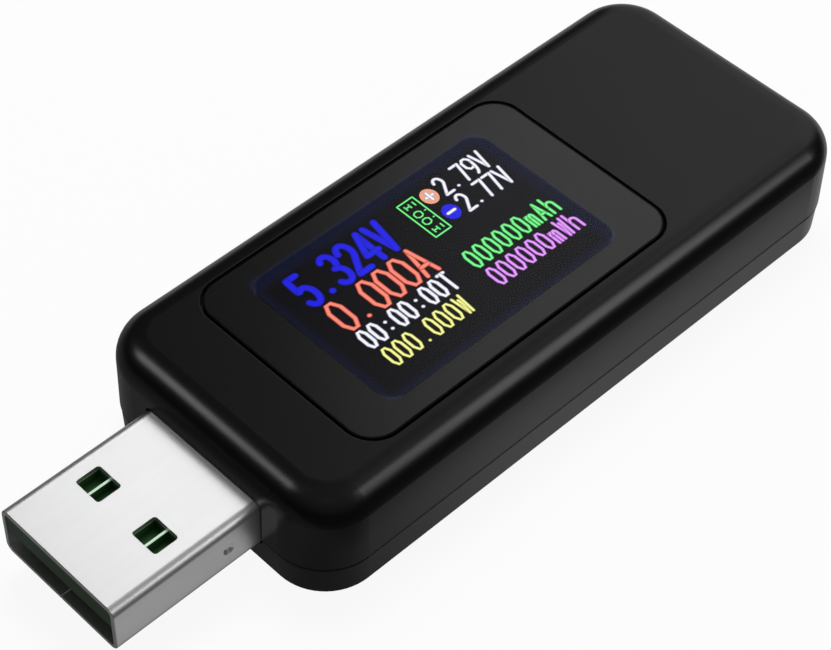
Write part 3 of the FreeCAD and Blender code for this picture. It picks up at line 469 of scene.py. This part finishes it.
# %% The display's dot grid
def build_dot_grid():
    """Darker lines between the dots of a colour display."""
    group, start, end = new_group("dot_grid", [("Pitch", 0.128 * MM), ("Line Depth", 0.25)],
                                  [("Brightness", "Float")])
    parts = object_axes(group)
    gaps = []
    for axis in ("X", "Y"):
        phase = math_node(group, "FRACT", math_node(group, "DIVIDE", parts[axis], start["Pitch"]))
        from_middle = math_node(group, "ABSOLUTE", math_node(group, "SUBTRACT", phase, 0.5))
        gaps.append(spread(group, from_middle, 0.34, 0.48))
    gap = math_node(group, "MAXIMUM", *gaps)
    bright = math_node(group, "SUBTRACT", 1.0, math_node(group, "MULTIPLY", gap, start["Line Depth"]))
    group.links.new(bright, end["Brightness"])
    return group


dot_grid = build_dot_grid()
print("shared effects:", [group.name for group in bpy.data.node_groups])

# %% [markdown]
# ## Starting a material
# Every finish uses the Principled shader.  Values that never change over the surface are set
# straight on its sockets.  Values that do change, such as roughness and bump, come from nodes.

# %% A helper that starts a material
def new_material(name, **values):
    """A material with a Principled shader; values are set on the shader's own sockets."""
    material = bpy.data.materials.new(name)
    material.use_nodes = True
    tree = material.node_tree
    tree.nodes.clear()
    shader = add(tree, "ShaderNodeBsdfPrincipled")
    for socket, value in values.items():
        shader.inputs[socket.replace("_", " ")].default_value = value
    add(tree, "ShaderNodeOutputMaterial", {"Surface": shader.outputs[0]})
    return material, tree, shader.inputs


def bump(tree, height, distance, normal=None, strength=1.0):
    """Turn a height into a tilted normal, on top of another normal if one is given."""
    inputs = {"Height": height, "Distance": distance, "Strength": strength}
    if normal is not None:
        inputs["Normal"] = normal
    return add(tree, "ShaderNodeBump", inputs).outputs["Normal"]

# %% [markdown]
# ## Moulded plastics
# The housing is black ABS with a fine satin grain.  Its colour is almost nothing, so the grain
# in its roughness and bump is what makes it read as plastic.  One maker gives every moulded
# piece its finish, and each call says how dark, how rough and how coarse that piece is.

# %% Moulded plastic maker
def moulded(name, base, rough, grain_size, grain_depth, edge_radius=0.06 * MM, gloss=0.5, dusty=0.0):
    """Moulded plastic: grain, slow patches in the roughness, rubbed edges and a trace of dust."""
    material, tree, shader = new_material(name, Specular_IOR_Level=gloss)
    grain = place(tree, mould_grain, Size=grain_size)
    edges = place(tree, soft_edges, Radius=edge_radius)
    specks = place(tree, dust, Amount=dusty)["Mask"]
    lighter = tuple(min(1, level * 1.6 + 0.0015) for level in base)
    wear_and_painted_highlight = blend_colours(tree, edges["Mask"], base, lighter)
    dusted = blend_colours(tree, specks, wear_and_painted_highlight, (0.12, 0.12, 0.115))
    patchy = spread(tree, grain["Patches"], 0.3, 0.7, rough - 0.008, rough + 0.008)
    rubbed = add(tree, "ShaderNodeMix", {"Factor": edges["Mask"], "A": patchy, "B": rough * 0.8})
    tree.links.new(dusted, shader["Base Color"])
    tree.links.new(rubbed.outputs["Result"], shader["Roughness"])
    tree.links.new(bump(tree, grain["Height"], grain_depth, edges["Normal"]), shader["Normal"])
    return material


SEAM_HALF_WIDTH = 0.12 * MM
SEAM_DEPTH = 0.13 * MM


def housing_plastic():
    """Black satin ABS of both housing mouldings, with the fine step where the two meet."""
    material = moulded("housing_plastic", (0.0008, 0.0008, 0.0008), 0.28, 0.09 * MM, 0.0004 * MM, 0.10 * MM,
                       0.5, 0.02)
    tree = material.node_tree
    shader = tree.nodes["Principled BSDF"].inputs
    height = object_axes(tree)["Z"]
    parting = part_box("upper_shell")[0].z
    step_down = spread(tree, height, parting - SEAM_HALF_WIDTH, parting + SEAM_HALF_WIDTH, 1.0, 0.0,
                       smooth=False)
    grained = shader["Normal"].links[0].from_socket
    tree.links.new(bump(tree, step_down, SEAM_DEPTH, grained), shader["Normal"])
    return material


def button_plastic():
    """The key's own moulding, a little smoother than the housing."""
    return moulded("button_plastic", (0.006, 0.006, 0.0062), 0.26, 0.07 * MM, 0.0008 * MM)


RIB_HIGHLIGHT_BAND = (0.05 * MM, 0.02 * MM)
RIB_PAINTED_HIGHLIGHT = colour(222, 250, 224)


def insulator_green():
    """Dark green moulding that carries the contacts, with a pale highlight painted on its raised rib tops.
    """
    material = moulded("insulator_green", colour(44, 86, 44), 0.34, 0.10 * MM, 0.0012 * MM)
    tree = material.node_tree
    shader = tree.nodes["Principled BSDF"].inputs
    height = object_axes(tree)["Z"]
    rib_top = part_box("plug_insulator")[1].z
    # A pale highlight is painted on the top of each rib, where light would catch it.
    wear_and_painted_highlight = spread(tree, height, rib_top - RIB_HIGHLIGHT_BAND[0], rib_top - RIB_HIGHLIGHT_BAND[1])
    moulded_green = shader["Base Color"].links[0].from_socket
    tree.links.new(blend_colours(tree, wear_and_painted_highlight, moulded_green, RIB_PAINTED_HIGHLIGHT), shader["Base Color"])
    return material


def tray_white():
    """White light-guide tray under the display glass."""
    return moulded("tray_white", (0.72, 0.73, 0.72), 0.4, 0.12 * MM, 0.0010 * MM)


def chip_black():
    """Moulded epoxy of the chips."""
    return moulded("chip_black", (0.012, 0.012, 0.013), 0.55, 0.06 * MM, 0.0015 * MM)


def switch_black():
    """Glass-filled nylon of the switch."""
    return moulded("switch_black", (0.010, 0.010, 0.010), 0.5, 0.05 * MM, 0.0012 * MM)


def tantalum_amber():
    """Amber epoxy of the reservoir capacitor."""
    return moulded("tantalum_amber", (0.62, 0.36, 0.04), 0.42, 0.08 * MM, 0.0010 * MM)

# %% [markdown]
# ## Sheet metal
# The plug and the socket are folded from nickel-plated steel strip.  The strip was rolled, so
# very fine lines run along it and stretch the highlights.  Folding and handling leave the edges
# a little brighter.  The contacts are gold over nickel, and the solder joints are tin.

# %% Sheet metal maker
def plated(name, base, rough, line_depth, edge_radius=0.05 * MM):
    """Plated sheet metal with rolling lines and bright rubbed edges."""
    material, tree, shader = new_material(name, Metallic=1.0)
    roll_marks = place(tree, rolled_lines)
    edges = place(tree, soft_edges, Radius=edge_radius)
    darker = tuple(level * 0.985 for level in base)
    brighter = tuple(min(1, level * 1.05) for level in base)
    banded = blend_colours(tree, spread(tree, roll_marks["Bands"], 0.3, 0.7), darker, base)
    wear_and_painted_highlight = blend_colours(tree, edges["Mask"], banded, brighter)
    lined = spread(tree, roll_marks["Lines"], 0.25, 0.75, rough - 0.015, rough + 0.015)
    polished = add(tree, "ShaderNodeMix", {"Factor": edges["Mask"], "A": lined, "B": rough * 0.6})
    tree.links.new(wear_and_painted_highlight, shader["Base Color"])
    tree.links.new(polished.outputs["Result"], shader["Roughness"])
    tree.links.new(bump(tree, roll_marks["Lines"], line_depth, edges["Normal"]), shader["Normal"])
    return material


def shell_nickel():
    """Nickel plate of the two connector shells."""
    return plated("shell_nickel", (0.93, 0.93, 0.932), 0.38, 0.00006 * MM)


def contact_gold():
    """Gold plate of the contacts."""
    return plated("contact_gold", (0.86, 0.62, 0.22), 0.22, 0.0003 * MM)


def tinned():
    """Tin plate on leads, end caps, switch cover and dome."""
    return plated("tinned", (0.70, 0.70, 0.68), 0.36, 0.0006 * MM)


def sensor_strip():
    """Copper alloy strip of the current sensor."""
    return plated("sensor_strip", (0.62, 0.40, 0.28), 0.38, 0.0008 * MM)

# %% [markdown]
# ## The window
# The window is 1 mm of clear acrylic.  Glass and clear plastic need a plain transmission of one,
# and a smooth surface with a trace of unevenness.  A thin bloom on it keeps its own reflection
# low, so the display stays dark.  The black film on its back shows as a satin border: there the
# lens is frosted and carries a satin coat, and the display's far edges lie a little under it,
# because the film sits higher than the display.  A fine black line of painted shade runs round
# the rim, standing in for the shade of the groove the lens sits in.  Lamps and reflections reach
# the display straight through the lens, which a Mix Shader takes away for them.

# %% Clear acrylic, black film and the soft black pieces
LENS_CORNER = 2.4 * MM
# Width of the black line painted round the lens rim as the shade of its groove.
RIM_SHADE_LINE = (0.20 * MM, 0.14 * MM)
GASKET_BORDER = 0.9 * MM
SLAB_GAP = 0.06 * MM
BORDER_OVERLAP = 1.0 * MM
RIM_CORNER = 1.6 * MM
BORDER_BLUR = 0.12 * MM
BORDER_ROUGHNESS = 0.29
TOP_SKIN = (0.04 * MM, 0.02 * MM)
lens_low, lens_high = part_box("window_lens")
gasket_low, gasket_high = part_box("display_gasket")
slab_inset = Vector((1, 1)) * (GASKET_BORDER + SLAB_GAP)
slab_low = gasket_low.xy + slab_inset
slab_high = gasket_high.xy - slab_inset
print("lit area mm:", [round(v / MM, 2) for v in slab_high - slab_low])


def lens_clear():
    """Bloomed acrylic: clear over the display, satin over the printed border, with painted shade at its
    rim.
    """
    material, tree, shader = new_material("lens_clear", Transmission_Weight=1.0, IOR=1.49,
                                          Specular_Tint=(0.3, 0.3, 0.3, 1), Coat_Roughness=0.12,
                                          Coat_IOR=1.5)
    grain = place(tree, mould_grain, Size=0.5 * MM, Patch_Size=9 * MM)
    wiped = spread(tree, grain["Patches"], 0.35, 0.75, 0.010, 0.013)
    clear_high = slab_high - Vector((1, 1)) * BORDER_OVERLAP
    into_clear = depth_inside(tree, slab_low, clear_high, RIM_CORNER)
    border = spread(tree, into_clear, -BORDER_BLUR, BORDER_BLUR, 1.0, 0.0)
    frosted = add(tree, "ShaderNodeMix", {"Factor": border, "A": wiped, "B": BORDER_ROUGHNESS})
    tree.links.new(frosted.outputs["Result"], shader["Roughness"])
    # A black line is painted round the rim of the lens as the shade of the groove it sits in.
    ink_and_rim_shade = spread(tree, depth_inside(tree, lens_low, lens_high, LENS_CORNER), *RIM_SHADE_LINE)
    tree.links.new(blend_colours(tree, ink_and_rim_shade, (0.985, 0.985, 0.99), (0.0, 0.0, 0.0)), shader["Base Color"])
    height = object_axes(tree)["Z"]
    satin = spread(tree, height, lens_high.z - TOP_SKIN[0], lens_high.z - TOP_SKIN[1])
    for limit in (border, math_node(tree, "SUBTRACT", 1.0, ink_and_rim_shade)):
        satin = math_node(tree, "MULTIPLY", satin, limit)
    tree.links.new(satin, shader["Coat Weight"])
    rays = add(tree, "ShaderNodeLightPath").outputs
    bounced = math_node(tree, "MAXIMUM", rays["Is Diffuse Ray"], rays["Is Glossy Ray"])
    from_lamp = math_node(tree, "MAXIMUM", rays["Is Shadow Ray"], bounced)
    body = tree.nodes["Principled BSDF"].outputs[0]
    open_air = add(tree, "ShaderNodeBsdfTransparent").outputs[0]
    joined = add(tree, "ShaderNodeMixShader", {0: from_lamp, 1: body, 2: open_air})
    tree.links.new(joined.outputs[0], tree.nodes["Material Output"].inputs["Surface"])
    return material


def mask_black():
    """Screen-printed black film behind the border."""
    return moulded("mask_black", (0.0008, 0.0008, 0.0009), 0.30, 0.05 * MM, 0.0, gloss=0.02)


def tape_black():
    """Black foam-backed tape."""
    return moulded("tape_black", (0.008, 0.008, 0.008), 0.75, 0.06 * MM, 0.004 * MM)


def foam_black():
    """Closed-cell foam."""
    return moulded("foam_black", (0.012, 0.012, 0.012), 0.9, 0.12 * MM, 0.02 * MM)


def display_dark():
    """Dark glass of the display with its polariser film."""
    material, tree, shader = new_material("display_dark", Specular_IOR_Level=0.3)
    grain = place(tree, mould_grain, Size=0.3 * MM)
    grid = place(tree, dot_grid, Line_Depth=0.5)
    dark = blend_colours(tree, grid["Brightness"], (0.002, 0.002, 0.003), (0.006, 0.006, 0.009))
    tree.links.new(dark, shader["Base Color"])
    tree.links.new(spread(tree, grain["Patches"], 0.3, 0.7, 0.16, 0.22), shader["Roughness"])
    return material

# %% [markdown]
# ## Inside finishes
# Nobody sees the circuit board until the housing is opened, but it gets its own finish too: green
# solder mask over copper tracks, amber flexible circuit, and ceramic blocks.

# %% Board, flex and ceramics
def board_green():
    """Solder mask with copper tracks showing paler through it."""
    material, tree, shader = new_material("board_green")
    where = add(tree, "ShaderNodeTexCoord").outputs["Object"]
    tracks = add(tree, "ShaderNodeTexVoronoi", {"Vector": where, "Scale": 0.45 / MM}, distance="MANHATTAN",
                 feature="DISTANCE_TO_EDGE")
    copper = spread(tree, tracks.outputs["Distance"], 0.10, 0.06)
    grain = place(tree, mould_grain, Size=0.12 * MM)
    mask_colour = blend_colours(tree, copper, (0.006, 0.060, 0.020), (0.015, 0.120, 0.045))
    tree.links.new(mask_colour, shader["Base Color"])
    tree.links.new(spread(tree, grain["Patches"], 0.3, 0.7, 0.24, 0.34), shader["Roughness"])
    tree.links.new(bump(tree, copper, 0.02 * MM), shader["Normal"])
    return material


def flex_amber():
    """Amber polyimide film with conductors running along it."""
    material, tree, shader = new_material("flex_amber")
    roll_marks = place(tree, rolled_lines, Line_Width=0.25 * MM, Line_Length=60 * MM)
    lines = spread(tree, roll_marks["Lines"], 0.47, 0.53)
    film = blend_colours(tree, lines, (0.42, 0.20, 0.03), (0.60, 0.33, 0.08))
    tree.links.new(film, shader["Base Color"])
    tree.links.new(spread(tree, roll_marks["Bands"], 0.3, 0.7, 0.25, 0.35), shader["Roughness"])
    tree.links.new(bump(tree, lines, 0.01 * MM), shader["Normal"])
    return material


def ceramic_tan():
    """Fired ceramic of the chip capacitors."""
    return moulded("ceramic_tan", (0.36, 0.26, 0.16), 0.5, 0.04 * MM, 0.0015 * MM)


def ceramic_black():
    """Glazed face of the chip resistors."""
    return moulded("ceramic_black", (0.015, 0.015, 0.018), 0.3, 0.04 * MM, 0.0010 * MM)

# %% [markdown]
# ## Dressing the pieces
# Each solid arrives with a slot that carries the name of its finish.  We build every finish once,
# read each piece's name from its slot, and put that finish in the slot.

# %% Put each finish on its pieces
FINISHES = (housing_plastic, button_plastic, insulator_green, tray_white, chip_black, switch_black,
            tantalum_amber, shell_nickel, contact_gold, tinned, sensor_strip, lens_clear, mask_black,
            tape_black, foam_black, display_dark, board_green, flex_amber, ceramic_tan, ceramic_black)
finish_of = {}
arrived_with = {name: node.material_slots[0].material.name for name, node in frame["nodes"].items()}
for maker in FINISHES:
    finish_of[maker.__name__] = maker()
for name, node in frame["nodes"].items():
    node.material_slots[0].material = finish_of[arrived_with[name]]
print("finishes:", len(finish_of), "on", len(arrived_with), "pieces")

# %% [markdown]
# ## The lit picture
# The display shows plain readings: volts, amperes, time, watts, charge and energy, and the two
# data-line voltages beside a small port sketch.  The dark ground is a thin slab that lies on the
# glass, inside the foam gasket.  Its navy rim is a mask worked out from the distance to the
# slab's edge.

# %% Where the picture goes
SLAB_THICKNESS = 0.02 * MM
SLAB_LIFT = 0.004 * MM
slab_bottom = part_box("display_glass")[1].z + SLAB_LIFT
slab_top = slab_bottom + SLAB_THICKNESS


def piece_from(mesh_builder, name, material):
    """Make an object of a finished bmesh, with normals outwards, riding on the housing."""
    bmesh.ops.recalc_face_normals(mesh_builder, faces=mesh_builder.faces)
    mesh = bpy.data.meshes.new(name)
    mesh_builder.to_mesh(mesh)
    mesh_builder.free()
    mesh.materials.append(material)
    made = bpy.data.objects.new(name, mesh)
    bpy.context.scene.collection.objects.link(made)
    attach(made, "housing")
    return made


def prism(builder, outline, low, high):
    """A closed flat prism over an outline of (x, y) points."""
    bottom = [builder.verts.new((x, y, low)) for x, y in outline]
    top = [builder.verts.new((x, y, high)) for x, y in outline]
    builder.faces.new(bottom)
    builder.faces.new(top)
    for here in range(len(outline)):
        there = (here + 1) % len(outline)
        builder.faces.new((bottom[here], bottom[there], top[there], top[here]))
    return top

# %% The dark ground
NAVY_RIM = 1.15 * MM
RIM_BLUR = 0.5 * MM


def picture_ground():
    """Almost black ground with a soft navy rim, lit from behind through the dot grid."""
    material, tree, shader = new_material("picture_ground", Roughness=0.25, Emission_Strength=1.0,
                                          Specular_IOR_Level=0.05, Base_Color=(0.002, 0.002, 0.003, 1))
    nearest = depth_inside(tree, slab_low, slab_high, RIM_CORNER)
    rim = spread(tree, nearest, NAVY_RIM + RIM_BLUR, NAVY_RIM - RIM_BLUR)
    glow = blend_colours(tree, rim, (0.0035, 0.0035, 0.0042), (0.0055, 0.0075, 0.0240))
    grid = place(tree, dot_grid, Line_Depth=0.2)
    lit = add(tree, "ShaderNodeVectorMath", {0: glow, "Scale": grid["Brightness"]}, operation="SCALE")
    tree.links.new(lit.outputs[0], shader["Emission Color"])
    return material


builder = bmesh.new()
prism(builder, [(slab_low.x, slab_low.y), (slab_high.x, slab_low.y),
                (slab_high.x, slab_high.y), (slab_low.x, slab_high.y)], slab_bottom, slab_top)
piece_from(builder, "picture_ground", picture_ground())

# %% [markdown]
# ## A stroke font
# Display letters are drawn with a pen of even width, so each letter is a handful of strokes in a
# cell one unit wide and one unit high.  Round parts are arcs worked out by a formula.  A stroke
# becomes a thin closed ribbon with round ends.  Its middle line carries a value of one and its
# rim a value of zero, which lets the material glow paler along the middle of each stroke.

# %% Strokes of each letter
ARC_STEP = 18


def arc(x, y, wide, high, start, end):
    """Points along part of an ellipse, from one angle in degrees to another."""
    count = max(2, round(abs(end - start) / ARC_STEP))
    turns = [math.radians(start + (end - start) * step / count) for step in range(count + 1)]
    return [(x + wide * math.cos(turn), y + high * math.sin(turn)) for turn in turns]


CORNER_CUT = (0.62, 0.24)


def cut_box(x, y, wide, high):
    """A closed narrow box with its corners cut off, as a coarse dot font draws a zero."""
    across = wide * (1 - CORNER_CUT[0])
    up = high - 2 * high * CORNER_CUT[1]
    return [(x + wide, y - up), (x + wide, y + up), (x + across, y + high), (x - across, y + high),
            (x - wide, y + up), (x - wide, y - up), (x - across, y - high), (x + across, y - high)]


DOT_SIZE = 0.04
LETTERS = {
    "0": [("loop", cut_box(0.5, 0.5, 0.5, 0.5))],
    "2": [("line", arc(0.5, 0.72, 0.48, 0.28, 165, -25) + [(0.0, 0.0)]),
          ("line", [(0.0, 0.0), (1.0, 0.0)])],
    "3": [("line", arc(0.45, 0.76, 0.46, 0.24, 150, -90)), ("line", arc(0.45, 0.26, 0.52, 0.26, 90, -150))],
    "4": [("line", [(0.74, 0.0), (0.74, 1.0)]), ("line", [(0.74, 1.0), (0.0, 0.30)]),
          ("line", [(0.0, 0.30), (1.0, 0.30)])],
    "5": [("line", [(0.92, 1.0), (0.12, 1.0)]), ("line", [(0.12, 1.0), (0.08, 0.55)]),
          ("line", arc(0.46, 0.30, 0.50, 0.30, 128, -150))],
    "7": [("line", [(0.0, 1.0), (1.0, 1.0)]), ("line", [(1.0, 1.0), (0.42, 0.0)])],
    "9": [("loop", cut_box(0.5, 0.70, 0.48, 0.30)), ("line", arc(0.32, 0.68, 0.66, 0.68, 0, -75))],
    "A": [("line", [(0.0, 0.0), (0.5, 1.0)]), ("line", [(0.5, 1.0), (1.0, 0.0)]),
          ("line", [(0.18, 0.32), (0.82, 0.32)])],
    "T": [("line", [(0.0, 1.0), (1.0, 1.0)]), ("line", [(0.5, 1.0), (0.5, 0.0)])],
    "V": [("line", [(0.0, 1.0), (0.5, 0.0)]), ("line", [(0.5, 0.0), (1.0, 1.0)])],
    "W": [("line", [(0.0, 1.0), (0.24, 0.0)]), ("line", [(0.24, 0.0), (0.5, 0.8)]),
          ("line", [(0.5, 0.8), (0.76, 0.0)]), ("line", [(0.76, 0.0), (1.0, 1.0)])],
    "h": [("line", [(0.0, 0.0), (0.0, 1.0)]), ("line", arc(0.5, 0.45, 0.5, 0.2, 180, 0) + [(1.0, 0.0)])],
    "m": [("line", [(0.0, 0.0), (0.0, 0.66)]), ("line", arc(0.25, 0.5, 0.25, 0.16, 180, 0) + [(0.5, 0.0)]),
          ("line", arc(0.75, 0.5, 0.25, 0.16, 180, 0) + [(1.0, 0.0)])],
    ".": [("line", [(0.42, 0.06), (0.42 + DOT_SIZE, 0.06)])],
    ":": [("line", [(0.5, 0.22), (0.5 + DOT_SIZE, 0.22)]), ("line", [(0.5, 0.66), (0.5 + DOT_SIZE, 0.66)])],
}
print("letters drawn:", "".join(sorted(LETTERS)))

# %% Turn one stroke into a ribbon
CAP_STEPS = 4
RIBBON_THICKNESS = 0.010 * MM
STROKE_STEP = 0.0015 * MM


def sideways(path, number, closed):
    """The unit vector to the left of a path at one of its points."""
    count = len(path)
    before = path[(number - 1) % count] if closed else path[max(number - 1, 0)]
    after = path[(number + 1) % count] if closed else path[min(number + 1, count - 1)]
    along = (after - before).normalized()
    return Vector((-along.y, along.x))


def add_ring(builder, core, path, half_pen, low, high):
    """A closed stroke: an outer and an inner wall with a raised value along the middle."""
    rows = []
    for number, point in enumerate(path):
        left = sideways(path, number, True) * half_pen
        outer = point - left
        inner = point + left
        row = [builder.verts.new((*outer, low)), builder.verts.new((*outer, high)),
               builder.verts.new((*point, high)), builder.verts.new((*inner, high)),
               builder.verts.new((*inner, low))]
        row[2][core] = 1.0
        rows.append(row)
    for here, there in zip(rows, rows[1:] + rows[:1]):
        for side in range(5):
            next_side = (side + 1) % 5
            builder.faces.new((here[side], here[next_side], there[next_side], there[side]))


def add_ribbon(builder, core, path, half_pen, low, high):
    """An open stroke with round ends and a raised value along the middle."""
    lefts = [sideways(path, number, False) * half_pen for number in range(len(path))]
    end_cap = []
    start_cap = []
    for step in range(1, CAP_STEPS):
        turn = math.pi * step / CAP_STEPS
        for cap, point, left, way in ((end_cap, path[-1], lefts[-1], 1),
                                      (start_cap, path[0], lefts[0], -1)):
            ahead = Vector((left.y, -left.x))
            cap.append(point + way * (left * math.cos(turn) + ahead * math.sin(turn)))
    left_side = [point + left for point, left in zip(path, lefts)]
    right_side = [point - left for point, left in zip(path, lefts)]
    outline = left_side + end_cap + right_side[::-1] + start_cap
    bottom = [builder.verts.new((*point, low)) for point in outline]
    top = [builder.verts.new((*point, high)) for point in outline]
    middle = [builder.verts.new((*point, high)) for point in path]
    for vertex in middle:
        vertex[core] = 1.0
    builder.faces.new(bottom)
    count = len(outline)
    for here in range(count):
        there = (here + 1) % count
        builder.faces.new((bottom[here], bottom[there], top[there], top[here]))
    length = len(path)
    for here in range(length - 1):
        builder.faces.new((top[here], top[here + 1], middle[here + 1], middle[here]))
        right = length + len(end_cap) + (length - 1 - here)
        builder.faces.new((middle[here], middle[here + 1], top[right - 1], top[right]))
    end_fan = top[length - 1:length + len(end_cap) + 1]
    start_fan = top[2 * length + len(end_cap) - 1:] + top[:1]
    for centre, fan in ((middle[-1], end_fan), (middle[0], start_fan)):
        for first, second in zip(fan, fan[1:]):
            builder.faces.new((centre, first, second))


def draw(builder, core, strokes, corner, size, pen):
    """Draw a letter's strokes in a cell whose lower left corner and size are given."""
    for order, (kind, points) in enumerate(strokes):
        path = [Vector((corner[0] + x * size[0], corner[1] + y * size[1])) for x, y in points]
        low = slab_top - RIBBON_THICKNESS / 2
        high = slab_top + RIBBON_THICKNESS / 2 + order * STROKE_STEP
        if kind == "loop":
            add_ring(builder, core, path, pen / 2, low, high)
        else:
            add_ribbon(builder, core, path, pen / 2, low, high)

# %% Lit inks
def lit_ink(name, rim, core_colour, strength=1.0):
    """Backlit dots: a saturated rim, a paler middle, and the dark lines of the dot grid."""
    material, tree, shader = new_material(name, Roughness=0.3, Emission_Strength=strength,
                                          Base_Color=(0.004, 0.004, 0.004, 1))
    middle = add(tree, "ShaderNodeAttribute", attribute_name="core").outputs["Fac"]
    ink_and_rim_shade = blend_colours(tree, spread(tree, middle, 0.05, 0.6), rim, core_colour)
    grid = place(tree, dot_grid, Line_Depth=0.22)
    lit = add(tree, "ShaderNodeVectorMath", {0: ink_and_rim_shade, "Scale": grid["Brightness"]}, operation="SCALE")
    tree.links.new(lit.outputs[0], shader["Emission Color"])
    return material


INKS = {
    "blue": lit_ink("ink_blue", colour(4, 4, 190), colour(24, 24, 236)),
    "red": lit_ink("ink_red", colour(190, 14, 10), colour(255, 150, 128)),
    "white": lit_ink("ink_white", colour(150, 150, 190), colour(255, 255, 255)),
    "yellow": lit_ink("ink_yellow", colour(150, 150, 20), colour(255, 255, 165)),
    "green": lit_ink("ink_green", colour(10, 140, 34), colour(125, 255, 150)),
    "violet": lit_ink("ink_violet", colour(130, 24, 180), colour(238, 165, 255)),
    "orange": lit_ink("ink_orange", colour(220, 80, 58), colour(252, 176, 142)),
}

# %% [markdown]
# ## Laying out the readings
# Lengths here are millimetres from the housing's plug end and from its middle line.  The left
# column holds the two large readings and two small ones, and the right column the rest.

# %% Write a line of text
def write_line(name, text, ink_and_rim_shade, left, foot, pitch, letter, pen):
    """One line of letters, each in its own cell, joined into one piece."""
    builder = bmesh.new()
    core = builder.verts.layers.float.new("core")
    for number, character in enumerate(text):
        corner = (housing_front + (left + number * pitch) * MM, foot * MM)
        size = (letter[0] * MM, letter[1] * MM)
        draw(builder, core, LETTERS[character], corner, size, pen * MM)
    return piece_from(builder, name, INKS[ink_and_rim_shade])


LEFT_COLUMN = 13.95
RIGHT_COLUMN = 25.2
VOLTAGE_COLUMN = 28.8
WIDE = {"pitch": 1.555, "letter": (1.12, 3.15), "pen": 0.58}
MIDDLE = {"pitch": 1.555, "letter": (1.12, 2.95), "pen": 0.42}
SMALL = {"pitch": 1.02, "letter": (0.62, 1.80), "pen": 0.30}
SMALL_BOLD = {**SMALL, "pen": 0.33}
SMALL_FINE = {**SMALL, "pen": 0.28}
SMALL_WIDE = {**SMALL, "letter": (0.74, 1.85)}

write_line("reading_volts", "5.324V", "blue", LEFT_COLUMN - 0.1, 3.55, **WIDE)
write_line("reading_amperes", "0.000A", "red", LEFT_COLUMN + 0.2, 0.0, **MIDDLE)
write_line("reading_time", "00:00:00T", "white", LEFT_COLUMN + 0.25, -2.25, **SMALL_BOLD)
write_line("reading_watts", "000.000W", "yellow", LEFT_COLUMN + 0.45, -4.6, **SMALL_FINE)
write_line("reading_data_plus", "2.79V", "white", VOLTAGE_COLUMN, 4.95, **SMALL_WIDE)
write_line("reading_data_minus", "2.77V", "white", VOLTAGE_COLUMN + 0.1, 2.6, **SMALL_WIDE)
write_line("reading_charge", "000000mAh", "green", RIGHT_COLUMN, -1.93, **SMALL)
write_line("reading_energy", "000000mWh", "violet", RIGHT_COLUMN + 0.1, -4.28, **SMALL)

# %% The port sketch and its two signs
def write_sketch(name, strokes, ink_and_rim_shade, left, foot, size, pen):
    """A small drawing made of strokes in one cell."""
    builder = bmesh.new()
    core = builder.verts.layers.float.new("core")
    corner = (housing_front + left * MM, foot * MM)
    draw(builder, core, strokes, corner, (size[0] * MM, size[1] * MM), pen * MM)
    return piece_from(builder, name, INKS[ink_and_rim_shade])


def disc(name, ink_and_rim_shade, x, y, wide, high):
    """A filled oval sign."""
    builder = bmesh.new()
    core = builder.verts.layers.float.new("core")
    centre = (housing_front + x * MM, y * MM)
    outline = arc(*centre, wide * MM / 2, high * MM / 2, 0, 360)[:-1]
    low = slab_top - RIBBON_THICKNESS / 2
    for vertex in prism(builder, outline, low, slab_top + RIBBON_THICKNESS / 2):
        vertex[core] = 0.5
    return piece_from(builder, name, INKS[ink_and_rim_shade])


def sign_strokes(vertical):
    """A minus, or a plus when it has its upright bar too."""
    strokes = [("line", [(0.0, 0.5), (1.0, 0.5)])]
    if vertical:
        strokes.append(("line", [(0.5, 0.0), (0.5, 1.0)]))
    return strokes


def port_strokes():
    """A framed port: a ring for each of the two data pins, a fork for each of the two power pins."""
    frame_sides = [[(0, 0), (1, 0)], [(1, 0), (1, 1)], [(1, 1), (0, 1)], [(0, 1), (0, 0)]]
    strokes = [("line", side) for side in frame_sides]
    for y in (0.39, 0.61):
        strokes.append(("loop", cut_box(0.42, y, 0.20, 0.075)))
        strokes.append(("line", [(0.84, y), (0.88, y)]))
    for y in (0.14, 0.86):
        for x in (0.24, 0.50, 0.76):
            strokes.append(("line", [(x, y - 0.045), (x, y + 0.045)]))
        strokes.append(("line", [(0.24, y), (0.50, y)]))
    return strokes


PORT_PLACE = (25.1, 2.4)
PORT_SIZE = (1.6, 4.2)
PORT_PEN = 0.17
SIGN_LIFT = 0.02 * MM
SIGN_SIZE = (0.72, 0.84)
SIGN_PEN = 0.31
DISC_SIZE = (1.43, 1.66)
SIGNS = (("sign_plus", "orange", (27.7, 5.75), True), ("sign_minus", "blue", (27.8, 3.5), False))

write_sketch("port_sketch", port_strokes(), "green", *PORT_PLACE, PORT_SIZE, PORT_PEN)
for name, ink_and_rim_shade, middle, upright in SIGNS:
    disc(name + "_ground", ink_and_rim_shade, *middle, *DISC_SIZE)
for name, ink_and_rim_shade, middle, upright in SIGNS:
    sign = write_sketch(name, sign_strokes(upright), "white", middle[0] - SIGN_SIZE[0] / 2,
                        middle[1] - SIGN_SIZE[1] / 2, SIGN_SIZE, SIGN_PEN)
    sign.location.z += SIGN_LIFT
drawn = [o.name for o in bpy.data.objects if o.name.startswith(("reading", "sign", "port"))]
print("picture pieces:", len(drawn))
